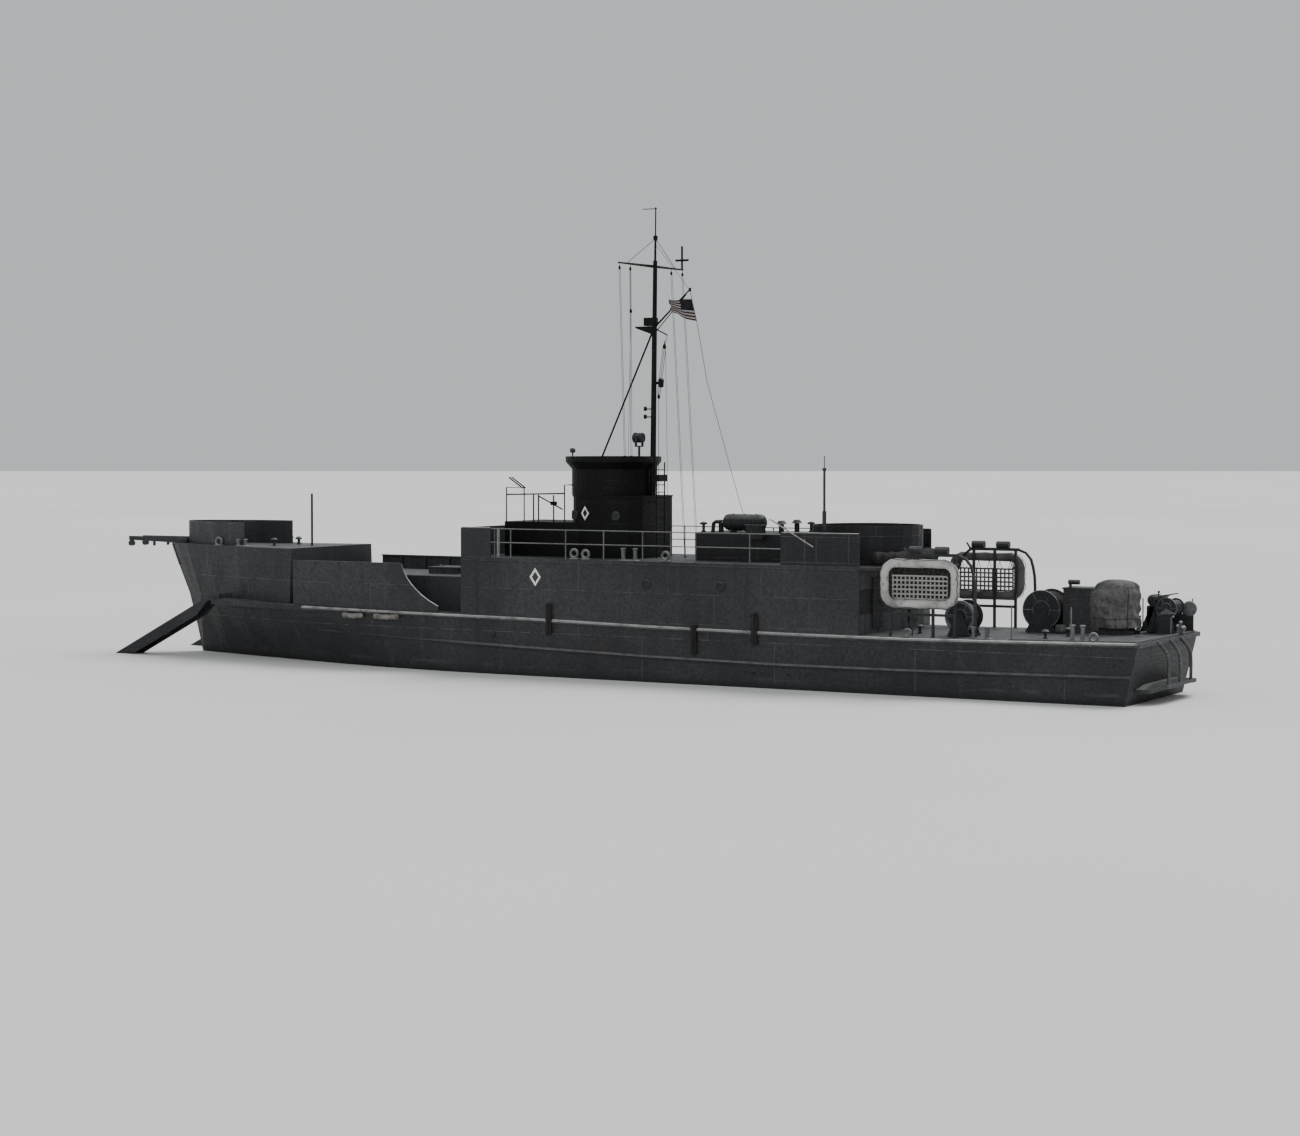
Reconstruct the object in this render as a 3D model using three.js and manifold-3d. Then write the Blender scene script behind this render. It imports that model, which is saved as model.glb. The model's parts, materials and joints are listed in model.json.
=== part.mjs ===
// Infantry landing craft with its two side ramps lowered, as a 1:2 scale model.
// Every length in this file is a length of the full-size craft in millimetres, and the
// finished group is brought to half size at the end. +X points to the bow, +Y to port
// and +Z up, with the origin amidships on the centreline at the waterline.

import * as THREE from 'three';
import { mergeVertices } from 'three/addons/utils/BufferGeometryUtils.js';
import Module from 'manifold-3d';

const wasm = await Module();
wasm.setup();

// Scale and fits
const MODEL_SCALE = 0.5;
const SEAT = 0.6;
const PLATE = 60;
const WALL = 80;

// Hull
const HALF_BEAM = 3460;
const TOP_STRAKE = 450;
const TRANSOM_FOOT_X = -23300;
const GUARD_RADIUS = 90;
const LOWER_GUARD_FORE_X = 13400;
const UPPER_GUARD_FORE_X = 14100;
const GANGWAY_AFT_X = 12600;
const GANGWAY_FORE_X = 19400;
const GANGWAY_DEPTH = 220;
const FORECASTLE_AFT_X = 15050;
const FORECASTLE_Z = 5000;

// Houses and platforms
const HOUSE_FORE_X = 5780;
const HOUSE_AFT_X = -12600;
const BOAT_DECK_Z = 4870;
const BOAT_DECK_DEPTH = 110;
const PLATFORM_AFT_X = -13650;
const SHIELD_TOP_Z = 6100;
const SIDE_SHIELD_FORE_X = -9250;
const PILOT_TOP_Z = 7450;
const PILOT_HALF = 1700;
const TOWER_X = 370;
const TOWER_RADIUS = 1750;
const TOWER_RIM_RADIUS = 2020;
const TOWER_FLARE_Z = 8550;
const TOWER_TOP_Z = 9080;
const BRIDGE_Z = 7650;
const SCREEN_TOP_Z = 4500;
const TRUNK_TOP_Z = 3950;

// Mast
const MAST_X = -1530;
const MAST_RAKE = 130;
const MAST_RADIUS = 125;
const MAST_STEP_Z = 14700;
const MAST_TOP_Z = 18200;
const TOPMAST_Z = 19440;
const YARD_Z = 17000;
const YARD_LENGTH = 5440;
const YARD_AHEAD = 180;
const GAFF_ROOT_Z = 14450;
const GAFF_END = [-3300, 0, 15990];

// Upper end of the ensign's halyard, from the gaff's end down past the ensign.
const HALYARD = { topZ: 15940, footZ: 14600, lean: 0.25, radius: 12 };

const halyardX = (z) => GAFF_END[0] - HALYARD.lean * (HALYARD.topZ - z);

// The mast rakes a little aft, so its x depends on the level.
const mastX = (z) => MAST_X - (MAST_RAKE * (z - PILOT_TOP_Z)) / (MAST_TOP_Z - PILOT_TOP_Z);

// Ramps
const RAMP_LENGTH = 6700;
const RAMP_WIDTH = 820;
const RAMP_SLOPE_DEG = 27;
const RAMP_DEPTH = 400;
const RAMP_PIVOT_X = 19640;
const RAMP_PIVOT_Z = 2720;
const RAMP_Y = 2640;

// Underwater gear
const SHAFT_Y = 1350;
const SHAFT_Z = -900;
const PROPELLER_X = -21050;
const PROPELLER_RADIUS = 550;
const RUDDER_X = -22500;

// Hull stations. Columns: x, keel z, bilge rise, half width of the flat bottom,
// half breadth at the waterline, half breadth at the deck, deck z.
const STATIONS = [
  [-23850, -80, 100, 2550, 3300, 3430, 2375],
  [-21200, -250, 100, 2550, 3400, 3450, 2330],
  [-18000, -700, 100, 2550, 3450, 3460, 2275],
  [-14300, -1250, 100, 2550, 3460, 3460, 2230],
  [-9200, -1420, 100, 2550, 3460, 3460, 2240],
  [-3300, -1340, 100, 2550, 3460, 3460, 2310],
  [2900, -1240, 140, 2350, 3450, 3460, 2430],
  [6500, -1180, 170, 2050, 3370, 3460, 2455],
  [9800, -1120, 220, 1600, 3020, 3450, 2490],
  [12600, -1050, 260, 1120, 2480, 3430, 2530],
  [14400, -1000, 270, 830, 2040, 3280, 2560],
  [16500, -930, 280, 540, 1500, 2780, 2600],
  [18500, -820, 270, 320, 1000, 2130, 2640],
  [20500, -600, 200, 150, 500, 1390, 2680],
  [21900, -300, 90, 60, 150, 830, 2695],
].map(([x, keel, rise, bottom, water, deck, deckZ]) => ({ x, keel, rise, bottom, water, deck, deckZ }));

// The transom rakes aft from the waterline up to the deck's end.
function transomX(z) {
  const { x, deckZ: top } = STATIONS[0];
  return TRANSOM_FOOT_X + ((x - TRANSOM_FOOT_X) * Math.max(0, z)) / top;
}

// Paints and stuffs of the craft
const PAINTS = {
  hull: [0x2d3033, 0.62, 0.25],
  deck: [0x34373a, 0.8, 0.15],
  house: [0x333639, 0.62, 0.25],
  guard: [0x4a4d50, 0.6, 0.3],
  steel: [0x26282a, 0.55, 0.45],
  bronze: [0x8a6f3f, 0.4, 0.8],
  raft: [0xc4c2ba, 0.8, 0.0],
  canvas: [0x5d5c55, 0.95, 0.0],
  bunting: [0xa9a49c, 0.9, 0.0],
};

function paint(name) {
  const [color, roughness, metalness] = PAINTS[name];
  return new THREE.MeshStandardMaterial({ color, roughness, metalness });
}

// Value at x of rows that start with their x, straight between the rows and level beyond them.
function between(rows, x, key = 1, place = 0) {
  const i = rows.findIndex((row) => row[place] >= x);
  if (i === 0) return rows[0][key];
  if (i < 0) return rows[rows.length - 1][key];
  const [a, b] = [rows[i - 1], rows[i]];
  return a[key] + ((b[key] - a[key]) * (x - a[place])) / (b[place] - a[place]);
}

const along = (column, x) => between(STATIONS, x, column, 'x');

const deckZ = (x) => along('deckZ', x);

// Underside of the flat bottom at a place in plan.
function bottomZ(x, y) {
  return along('keel', x) + (along('rise', x) * Math.abs(y)) / along('bottom', x);
}

// Half breadth of the hull's side above the waterline.
function sideY(x, z) {
  const shoulder = deckZ(x) - TOP_STRAKE;
  const t = Math.min(z / shoulder, 1);
  return along('water', x) + (along('deck', x) - along('water', x)) * t;
}

// The ends of a stretch and the stations inside it.
function spanX(from, to) {
  const inside = STATIONS.map((station) => station.x).filter((x) => x > from && x < to);
  return [from, ...inside, to];
}

// Lowest level at which a flat-bottomed fitting sits on the deck.
const seatZ = (from, to) => Math.max(...spanX(from, to).map(deckZ)) + SEAT;

// Solids and their joins
function volumeOf(position, index) {
  const [a, b, c] = [new THREE.Vector3(), new THREE.Vector3(), new THREE.Vector3()];
  let sum = 0;
  for (let i = 0; i < index.length; i += 3) {
    a.fromArray(position, index[i] * 3);
    b.fromArray(position, index[i + 1] * 3);
    c.fromArray(position, index[i + 2] * 3);
    sum += a.dot(b.cross(c));
  }
  return sum;
}

// Closed mesh whose faces point out, whichever way round they were given.
function meshOf(position, index) {
  const outward = volumeOf(position, index) > 0;
  const faces = outward ? index : index.map((_, i) => index[i - (i % 3) + (2 - (i % 3))]);
  const geometry = new THREE.BufferGeometry();
  geometry.setAttribute('position', new THREE.Float32BufferAttribute(position, 3));
  geometry.setIndex(faces);
  return geometry;
}

function bare(geometry) {
  const copy = geometry.clone();
  copy.deleteAttribute('normal');
  copy.deleteAttribute('uv');
  const merged = mergeVertices(copy, 1e-3);
  return meshOf(Array.from(merged.attributes.position.array), Array.from(merged.index.array));
}

function solidOf(geometry) {
  const merged = bare(geometry);
  return new wasm.Manifold(new wasm.Mesh({
    numProp: 3,
    vertProperties: Float32Array.from(merged.attributes.position.array),
    triVerts: Uint32Array.from(merged.index.array),
  }));
}

function geometryOf(solid) {
  const mesh = solid.getMesh();
  const geometry = new THREE.BufferGeometry();
  geometry.setAttribute('position', new THREE.BufferAttribute(mesh.vertProperties, 3));
  geometry.setIndex(new THREE.BufferAttribute(mesh.triVerts, 1));
  return geometry;
}

function join(parts) {
  return geometryOf(parts.map(solidOf).reduce((whole, part) => whole.add(part)));
}

function cut(body, tools) {
  return geometryOf(tools.map(solidOf).reduce((rest, tool) => rest.subtract(tool), solidOf(body)));
}

function box(x0, x1, y0, y1, z0, z1) {
  const block = new THREE.BoxGeometry(x1 - x0, y1 - y0, z1 - z0);
  return block.translate((x0 + x1) / 2, (y0 + y1) / 2, (z0 + z1) / 2);
}

// Round bar between two points.
function rod(from, to, radius, sides = 6, farRadius = radius) {
  const a = new THREE.Vector3(...from);
  const b = new THREE.Vector3(...to);
  const way = b.clone().sub(a);
  const bar = new THREE.CylinderGeometry(farRadius, radius, way.length(), sides);
  const turn = new THREE.Quaternion().setFromUnitVectors(new THREE.Vector3(0, 1, 0), way.normalize());
  const middle = a.add(b).multiplyScalar(0.5);
  return bar.applyQuaternion(turn).translate(middle.x, middle.y, middle.z);
}

function flat(points, holes, depth) {
  const outline = new THREE.Shape(points.map(([u, v]) => new THREE.Vector2(u, v)));
  for (const hole of holes) {
    outline.holes.push(new THREE.Path(hole.map(([u, v]) => new THREE.Vector2(u, v))));
  }
  return new THREE.ExtrudeGeometry(outline, { depth, bevelEnabled: false });
}

// Plate drawn in plan (x, y), side view (x, z) or front view (y, z).
const planPlate = (points, z0, z1, holes = []) => flat(points, holes, z1 - z0).translate(0, 0, z0);
const sidePlate = (points, y0, y1, holes = []) => flat(points, holes, y1 - y0)
  .rotateX(Math.PI / 2).translate(0, y1, 0);
function frontPlate(points, x0, x1, holes = []) {
  const turn = new THREE.Matrix4().makeBasis(
    new THREE.Vector3(0, 1, 0),
    new THREE.Vector3(0, 0, 1),
    new THREE.Vector3(1, 0, 0),
  );
  return flat(points, holes, x1 - x0).applyMatrix4(turn).translate(x0, 0, 0);
}

const rectangle = (u0, u1, v0, v1) => [[u0, v0], [u1, v0], [u1, v1], [u0, v1]];

function arc(cu, cv, radius, fromDeg, toDeg, steps) {
  return Array.from({ length: steps + 1 }, (_, i) => {
    const angle = THREE.MathUtils.degToRad(fromDeg + ((toDeg - fromDeg) * i) / steps);
    return [cu + radius * Math.cos(angle), cv + radius * Math.sin(angle)];
  });
}

// Skin through rings of points, closed at both ends. Each four-sided field is split along its
// shorter diagonal. An end is closed by strips from its first and last points inwards, so it
// may be bent.
function loft(rings) {
  const n = rings[0].length;
  const index = [];
  const points = rings.flat();
  const apart = (i, j) => Math.hypot(...points[i].map((value, axis) => value - points[j][axis]));
  for (let i = 0; i + 1 < rings.length; i += 1) {
    for (let j = 0; j < n; j += 1) {
      const k = (j + 1) % n;
      const [a, b, c, d] = [i * n + j, i * n + k, (i + 1) * n + k, (i + 1) * n + j];
      index.push(...(apart(a, c) <= apart(b, d) ? [a, b, c, a, c, d] : [a, b, d, b, c, d]));
    }
  }
  const cap = (base, flip) => {
    for (let low = 0, high = n - 1; low + 1 < high; low += 1, high -= 1) {
      const faces = [[base + low, base + high, base + low + 1]];
      if (low + 1 < high - 1) faces.push([base + low + 1, base + high, base + high - 1]);
      for (const face of faces) index.push(...(flip ? face.reverse() : face));
    }
  };
  cap(0, false);
  cap((rings.length - 1) * n, true);
  return meshOf(points.flat(), index);
}

function mirrored(geometry) {
  const source = bare(geometry);
  const position = Array.from(source.attributes.position.array, (v, i) => (i % 3 === 1 ? -v : v));
  return meshOf(position, Array.from(source.index.array));
}

const craft = new THREE.Group();

function piece(name, geometry, stuff) {
  const mesh = new THREE.Mesh(bare(geometry), paint(stuff));
  mesh.name = name;
  craft.add(mesh);
}

// A piece and its mirror image across the centreline.
function pair(name, geometry, stuff) {
  piece(`${name}_port`, geometry, stuff);
  piece(`${name}_starboard`, mirrored(geometry), stuff);
}

// Stem profile: x of the stem at a level, from forefoot to forecastle deck.
const STEM_PROFILE = [[-240, 22150], [0, 22400], [2250, 23040], [2700, 23180], [FORECASTLE_Z, 24250]];

const stemX = (z) => between(STEM_PROFILE, z);

// Half section of the hull from keel to deck edge, with a round bilge.
function halfSection({ keel, rise, bottom, water, deck, deckZ: top }, bendX) {
  const turn = new THREE.QuadraticBezierCurve(
    new THREE.Vector2(bottom, keel + rise),
    new THREE.Vector2(bottom + (water - bottom) * 0.92, keel + rise + (0 - keel - rise) * 0.08),
    new THREE.Vector2(water, 0),
  );
  const points = [
    [0, keel],
    ...turn.getPoints(5).map((p) => [p.x, p.y]),
    [deck, top - TOP_STRAKE],
    [deck, top],
  ];
  return points.map(([y, z]) => [bendX(z), y, z]);
}

function mirrorRing(half) {
  const starboard = half.slice(1).reverse().map(([x, y, z]) => [x, -y, z]);
  return [...half, ...starboard];
}

function hullSkin() {
  const low = ['keel', 'rise', 'bottom', 'water'].map((column) => [column, along(column, TRANSOM_FOOT_X)]);
  const transom = halfSection({ ...STATIONS[0], ...Object.fromEntries(low) }, transomX);
  const bow = { keel: -240, rise: 20, bottom: 10, water: 25, deck: 35, deckZ: 2700 };
  const middle = STATIONS.slice(1).map((station) => halfSection(station, () => station.x));
  return loft([transom, ...middle, halfSection(bow, stemX)].map(mirrorRing));
}

// Centreline skeg below the run of the stern.
function skegShape() {
  const [foreX, aftX, depth, half] = [-11500, -20400, -1470, 60];
  const top = spanX(aftX, foreX).map((x) => [x, along('keel', x) + 20]);
  return sidePlate([[foreX - 300, depth], ...[...top].reverse(), [aftX + 500, depth]], -half, half);
}

// Raised forecastle on the narrow bow.
function forecastleShape() {
  // Columns: x at the foot, half breadth at the foot, x at the deck, half breadth at the deck.
  const outline = [
    [FORECASTLE_AFT_X, along('deck', FORECASTLE_AFT_X), FORECASTLE_AFT_X, 3000],
    [16000, along('deck', 16000), 16000, 2880],
    [18500, 2130, 18600, 2320],
    [20500, 1390, 20800, 1690],
    [21900, 830, 22500, 1120],
    [22600, 400, 23450, 620],
    [23180, 30, 24250, 40],
  ];
  const postX = 16160;
  const post = rod([postX, 0, FORECASTLE_Z - 50], [postX, 0, 7350], 50, 8);
  const body = loft(outline.map(([x0, y0, x1, y1]) => {
    const foot = Math.max(deckZ(x0), x0 > 21900 ? 2700 : 0) + SEAT;
    return [[x0, y0, foot], [x1, y1, FORECASTLE_Z], [x1, -y1, FORECASTLE_Z], [x0, -y0, foot]];
  }));
  return join([body, post]);
}

// Side gangway outboard of the forecastle, with the cheeks that carry the ramp's pivot.
function gangwayOuterY(x) {
  const t = Math.max(0, (x - 14400) / (GANGWAY_FORE_X - 14400));
  return HALF_BEAM - 300 * t;
}

function gangwayShape() {
  const ledge = loft(spanX(GANGWAY_AFT_X, GANGWAY_FORE_X).map((x) => {
    const [inner, outer, top] = [along('deck', x) - 40, gangwayOuterY(x), deckZ(x)];
    return [
      [x, inner, top - GANGWAY_DEPTH],
      [x, outer, top - GANGWAY_DEPTH],
      [x, outer, top],
      [x, inner, top],
    ];
  }));
  const cheeks = [-1, 1].map((side) => {
    const y = RAMP_Y + side * (RAMP_WIDTH / 2 + SEAT + PLATE / 2);
    const cheek = [
      [GANGWAY_FORE_X - 400, RAMP_PIVOT_Z - 130],
      [RAMP_PIVOT_X + 60, RAMP_PIVOT_Z - 130],
      [RAMP_PIVOT_X + 130, RAMP_PIVOT_Z],
      [RAMP_PIVOT_X + 60, RAMP_PIVOT_Z + 130],
      [GANGWAY_FORE_X - 400, RAMP_PIVOT_Z + 190],
    ];
    return sidePlate(cheek, y - PLATE / 2, y + PLATE / 2);
  });
  return join([ledge, ...cheeks]);
}

// Half-round rubbing guard along the side at a level given over x.
function guardShape(fromX, toX, level, inner, depth = GUARD_RADIUS) {
  return loft(spanX(fromX, toX).map((x) => {
    const z = level(x);
    const high = inner(x, z + GUARD_RADIUS);
    const low = inner(x, z - GUARD_RADIUS);
    const up = GUARD_RADIUS * 0.7;
    const out = depth - GUARD_RADIUS * 0.3;
    return [
      [x, low, z - GUARD_RADIUS],
      [x, low + out, z - up],
      [x, (low + high) / 2 + depth, z],
      [x, high + out, z + up],
      [x, high, z + GUARD_RADIUS],
    ];
  }));
}

// The upper guard runs round the stern and carries the transom's guard bars.
function upperGuardShape() {
  const sternX = STATIONS[0].x;
  const level = (x) => deckZ(x) - GUARD_RADIUS - 10;
  const inner = (x) => (x >= GANGWAY_AFT_X ? HALF_BEAM : along('deck', x)) + SEAT;
  const side = guardShape(sternX - SEAT - 80, UPPER_GUARD_FORE_X, level, inner);
  const reach = along('deck', sternX) + GUARD_RADIUS * 0.8;
  const z = level(sternX);
  const stern = box(sternX - SEAT - 80, sternX - SEAT, -reach, reach, z - GUARD_RADIUS * 0.8, z + GUARD_RADIUS * 0.8);
  return join([side, mirrored(side), stern, transomGuardShape()]);
}

// Level of the lower guard. Columns: x, z.
const LOWER_GUARD = [[-23540, 1060], [-14300, 950], [-9200, 940], [-3300, 1020], [2900, 1170], [13400, 1450]];

const lowerGuardZ = (x) => between(LOWER_GUARD, x);

// Flat boss under the bottom that a rudder's stock turns against.
const RUDDER_SEAT_Z = bottomZ(RUDDER_X, SHAFT_Y) - 45;

function hullShape() {
  const boss = rod([RUDDER_X, SHAFT_Y, RUDDER_SEAT_Z], [RUDDER_X, SHAFT_Y, RUDDER_SEAT_Z + 200], 95, 12);
  const root = 50;
  const inner = (x, z) => sideY(x, z) - root;
  const guard = guardShape(LOWER_GUARD[0][0], LOWER_GUARD_FORE_X, lowerGuardZ, inner, GUARD_RADIUS + root);
  const side = join([gangwayShape(), guard, boss]);
  return join([hullSkin(), skegShape(), side, mirrored(side)]);
}

// Bowed guard bars abaft the transom and the ledge that they stand on.
function transomGuardShape() {
  const half = 65;
  // Ledge from port to starboard. Columns: y, x of its aft edge, z.
  const ledge = [
    [2500, -24000, 520], [1650, -24390, 660], [-1650, -24390, 660], [-2500, -24000, 520],
  ];
  const shelf = loft(ledge.map(([y, aft, z]) => [
    [transomX(z - half) - SEAT, y, z - half],
    [aft, y, z - half],
    [aft, y, z + half],
    [transomX(z + half) - SEAT, y, z + half],
  ]));
  const section = new THREE.Shape(arc(0, 0, half, 0, 300, 5).map(([u, v]) => new THREE.Vector2(u, v)));
  // One bar's bow, from the deck's end down to the ledge. Columns: x, z.
  const bow = [[-23890, 2290], [-24090, 2105], [-24250, 1900], [-24320, 1680], [-24340, 1300], [-24330, 640]];
  const bars = [1490, 160, -1120].map((y) => {
    const path = new THREE.CatmullRomCurve3(bow.map(([x, z]) => new THREE.Vector3(x, y, z)));
    return new THREE.ExtrudeGeometry(section, { steps: 9, extrudePath: path, bevelEnabled: false });
  });
  return join([shelf, ...bars]);
}

// Plating whose foot follows the deck's sheer.
function sheerPlate(fromX, toX, topZ, y0, y1) {
  const foot = spanX(fromX, toX).map((x) => [x, deckZ(x) + SEAT]);
  return sidePlate([...foot, [toX, topZ], [fromX, topZ]], y0, y1);
}

const HOUSE_WALL_TOP = BOAT_DECK_Z - BOAT_DECK_DEPTH - SEAT;
const AFT_DOOR = { y: 1750, width: 760, sill: 2480, head: 4330 };

// The house's aft bulkhead has a doorway each side.
function houseAftShape() {
  const { y, width, sill, head } = AFT_DOOR;
  const [aftX, foreX] = [HOUSE_AFT_X, HOUSE_AFT_X + WALL];
  const doorways = [-1, 1].map((side) => box(
    aftX - 50, foreX + 50, side * y - width / 2, side * y + width / 2, sill, head,
  ));
  const inside = HALF_BEAM - WALL - SEAT;
  return cut(box(aftX, foreX, -inside, inside, seatZ(aftX, foreX), HOUSE_WALL_TOP), doorways);
}

// Steel door leaf lying on the aft face of a bulkhead, hinged at its outboard edge.
function aftDoorShape() {
  const { y, width, sill, head } = AFT_DOOR;
  const lap = 50;
  const leaf = box(
    HOUSE_AFT_X - SEAT - PLATE, HOUSE_AFT_X - SEAT, y - width / 2 - lap, y + width / 2 + lap, sill - lap, head + lap,
  );
  const handle = rod(
    [HOUSE_AFT_X - PLATE - 70, y - width / 2 + 60, (sill + head) / 2 - 150],
    [HOUSE_AFT_X - PLATE - 70, y - width / 2 + 60, (sill + head) / 2 + 150],
    22,
  );
  const lug = box(
    HOUSE_AFT_X - PLATE - 80, HOUSE_AFT_X - PLATE, y - width / 2 + 40, y - width / 2 + 80,
    (sill + head) / 2 - 30, (sill + head) / 2 + 30,
  );
  return join([leaf, handle, lug]);
}

function boatDeckShape() {
  const corner = 900;
  const outline = [
    [HOUSE_FORE_X, -HALF_BEAM],
    [HOUSE_FORE_X, HALF_BEAM],
    ...arc(PLATFORM_AFT_X + corner, HALF_BEAM - corner, corner, 90, 180, 4),
    ...arc(PLATFORM_AFT_X + corner, -HALF_BEAM + corner, corner, 180, 270, 4),
  ];
  return planPlate(outline, BOAT_DECK_Z - BOAT_DECK_DEPTH, BOAT_DECK_Z);
}

// Solid bulwark round the front of the boat deck.
function boatDeckBulwarkShape() {
  const returnX = 4300;
  const inner = HALF_BEAM - PLATE;
  const outline = [
    [returnX, -HALF_BEAM], [HOUSE_FORE_X, -HALF_BEAM], [HOUSE_FORE_X, HALF_BEAM], [returnX, HALF_BEAM],
    [returnX, inner], [HOUSE_FORE_X - PLATE, inner], [HOUSE_FORE_X - PLATE, -inner], [returnX, -inner],
  ];
  return planPlate(outline, BOAT_DECK_Z + SEAT, SHIELD_TOP_Z);
}

// Guard rails of two bars on stanchions along the boat deck.
function railShape() {
  const stanchions = [4110, 3320, 640, -1170, -3000, -4300, -5440, -7870];
  const [y, foot, bar] = [HALF_BEAM - 45, BOAT_DECK_Z + SEAT, 22];
  const [foreX, aftX] = [4300 - SEAT, SIDE_SHIELD_FORE_X + SEAT];
  const bars = [SHIELD_TOP_Z - 30, 5500].map((z) => rod([foreX, y, z], [aftX, y, z], bar));
  const posts = stanchions.map((x) => rod([x, y, foot], [x, y, SHIELD_TOP_Z - 30], bar + 6));
  return join([...bars, ...posts]);
}

// Side shield flush with the hull beside the after gun platform.
function sideShieldShape() {
  const inner = HALF_BEAM - PLATE;
  return join([
    box(SIDE_SHIELD_FORE_X - 3400, SIDE_SHIELD_FORE_X, inner, HALF_BEAM, BOAT_DECK_Z + SEAT, SHIELD_TOP_Z + 50),
    ...[0, 1, 2, 3].map((i) => box(
      SIDE_SHIELD_FORE_X - 200 - i * 1000, SIDE_SHIELD_FORE_X - 150 - i * 1000,
      inner - 90, inner + 10, BOAT_DECK_Z + SEAT, SHIELD_TOP_Z,
    )),
  ]);
}

// Round open tub: a ring of plate, open above.
function tubShape(x, radius, topZ) {
  const profile = [
    [radius - PLATE, BOAT_DECK_Z + SEAT],
    [radius, BOAT_DECK_Z + SEAT],
    [radius, topZ],
    [radius - PLATE, topZ],
    [radius - PLATE, BOAT_DECK_Z + SEAT],
  ].map(([r, z]) => new THREE.Vector2(r, z));
  return new THREE.LatheGeometry(profile, 28).rotateX(Math.PI / 2).translate(x, 0, 0);
}

const PILOT_DOOR = { x: -100, y: -PILOT_HALF, width: 700, sill: 5050, head: 6800 };

// Plan of the pilot house: a round front under the tower, flat sides and cut after corners.
function pilotOutline(inset) {
  const [aftX, half, chamfer] = [-1760, PILOT_HALF - inset, 450 + inset * 0.4];
  return [
    ...arc(TOWER_X, 0, half, -90, 90, 14),
    [aftX + chamfer, half],
    [aftX + inset, half - chamfer + inset],
    [aftX + inset, -half + chamfer - inset],
    [aftX + chamfer, -half],
  ];
}

function pilotHouseShape() {
  const top = PILOT_TOP_Z - PLATE - SEAT;
  const walls = planPlate(pilotOutline(0), BOAT_DECK_Z + SEAT, top, [pilotOutline(WALL).reverse()]);
  const { x, width, sill, head } = PILOT_DOOR;
  const doorway = box(x - width / 2, x + width / 2, -PILOT_HALF - 50, -PILOT_HALF + WALL + 50, sill, head);
  const roof = planPlate(pilotOutline(-40), PILOT_TOP_Z - PLATE, PILOT_TOP_Z);
  return { walls: cut(walls, [doorway]), roof: join([roof, bridgeFloorShape()]) };
}

function pilotDoorShape() {
  const { x, y, width, sill, head } = PILOT_DOOR;
  const lap = 45;
  const outer = y - SEAT - PLATE;
  const leaf = box(x - width / 2 - lap, x + width / 2 + lap, outer, y - SEAT, sill - lap, head + lap);
  const handle = box(x - width / 2 + 60, x - width / 2 + 90, outer - 60, outer + 10, 5800, 6050);
  return join([leaf, handle]);
}

// Low chart house ahead of the pilot house, fitted round its front.
function chartHouseShape() {
  const body = box(1000, 4850, -1500, 1500, BOAT_DECK_Z + SEAT, 6320);
  return cut(body, [planPlate(pilotOutline(-SEAT), BOAT_DECK_Z - 100, PILOT_TOP_Z)]);
}

// Low engine casing abaft the pilot house, with a mushroom vent each side.
function casingShape() {
  const vents = [[-5200, 800], [-5200, -800], [-7900, 700], [-7900, -700]].map(([x, y]) => join([
    rod([x, y, 5900], [x, y, 6420], 110, 10),
    rod([x, y, 6380], [x, y, 6520], 230, 10, 120),
  ]));
  return join([box(-8600, -4350, -1450, 1450, BOAT_DECK_Z + SEAT, 6020), ...vents]);
}

// Round tower: an open plate cylinder that flares to a rim.
function towerShape() {
  const foot = PILOT_TOP_Z + SEAT;
  const outer = [
    [TOWER_RADIUS, foot], [TOWER_RADIUS, TOWER_FLARE_Z], [TOWER_RIM_RADIUS, 8860], [TOWER_RIM_RADIUS, TOWER_TOP_Z],
  ];
  const inner = outer.map(([r, z]) => [r - PLATE, z]).reverse();
  const profile = [...outer, ...inner, outer[0]].map(([r, z]) => new THREE.Vector2(r, z));
  const shell = new THREE.LatheGeometry(profile, 36).rotateX(Math.PI / 2).translate(TOWER_X, 0, 0);
  const [low, high] = [foot + 900, TOWER_TOP_Z + 200];
  const mastHole = rod([mastX(low), 0, low], [mastX(high), 0, high], MAST_RADIUS + 25, 12);
  return cut(shell, [mastHole]);
}

// Raised floor of the bridge inside the tower, standing on the pilot house roof.
function bridgeFloorShape() {
  const radius = TOWER_RADIUS - PLATE - 12;
  return rod([TOWER_X, 0, PILOT_TOP_Z - 20], [TOWER_X, 0, BRIDGE_Z], radius, 36);
}

// Vertical ladder with a lamp box, abaft the tower.
function towerLadderShape() {
  const [x, low, high, foot, top] = [-2130, 60, 740, BOAT_DECK_Z + SEAT, 8850];
  const stiles = [low, high].map((y) => rod([x, y, foot], [x, y, top], 28));
  const rungs = Array.from({ length: 12 }, (_, i) => {
    const z = foot + 250 + i * 310;
    return rod([x, low, z], [x, high, z], 18);
  });
  const stays = [6000, 7200].map((z) => rod([x, high, z], [-1760 - SEAT, high, z], 22));
  const lamp = box(x - 130, x + 130, low - 30, high + 30, 8050, 8330);
  return join([...stiles, ...rungs, ...stays, lamp]);
}

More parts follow.
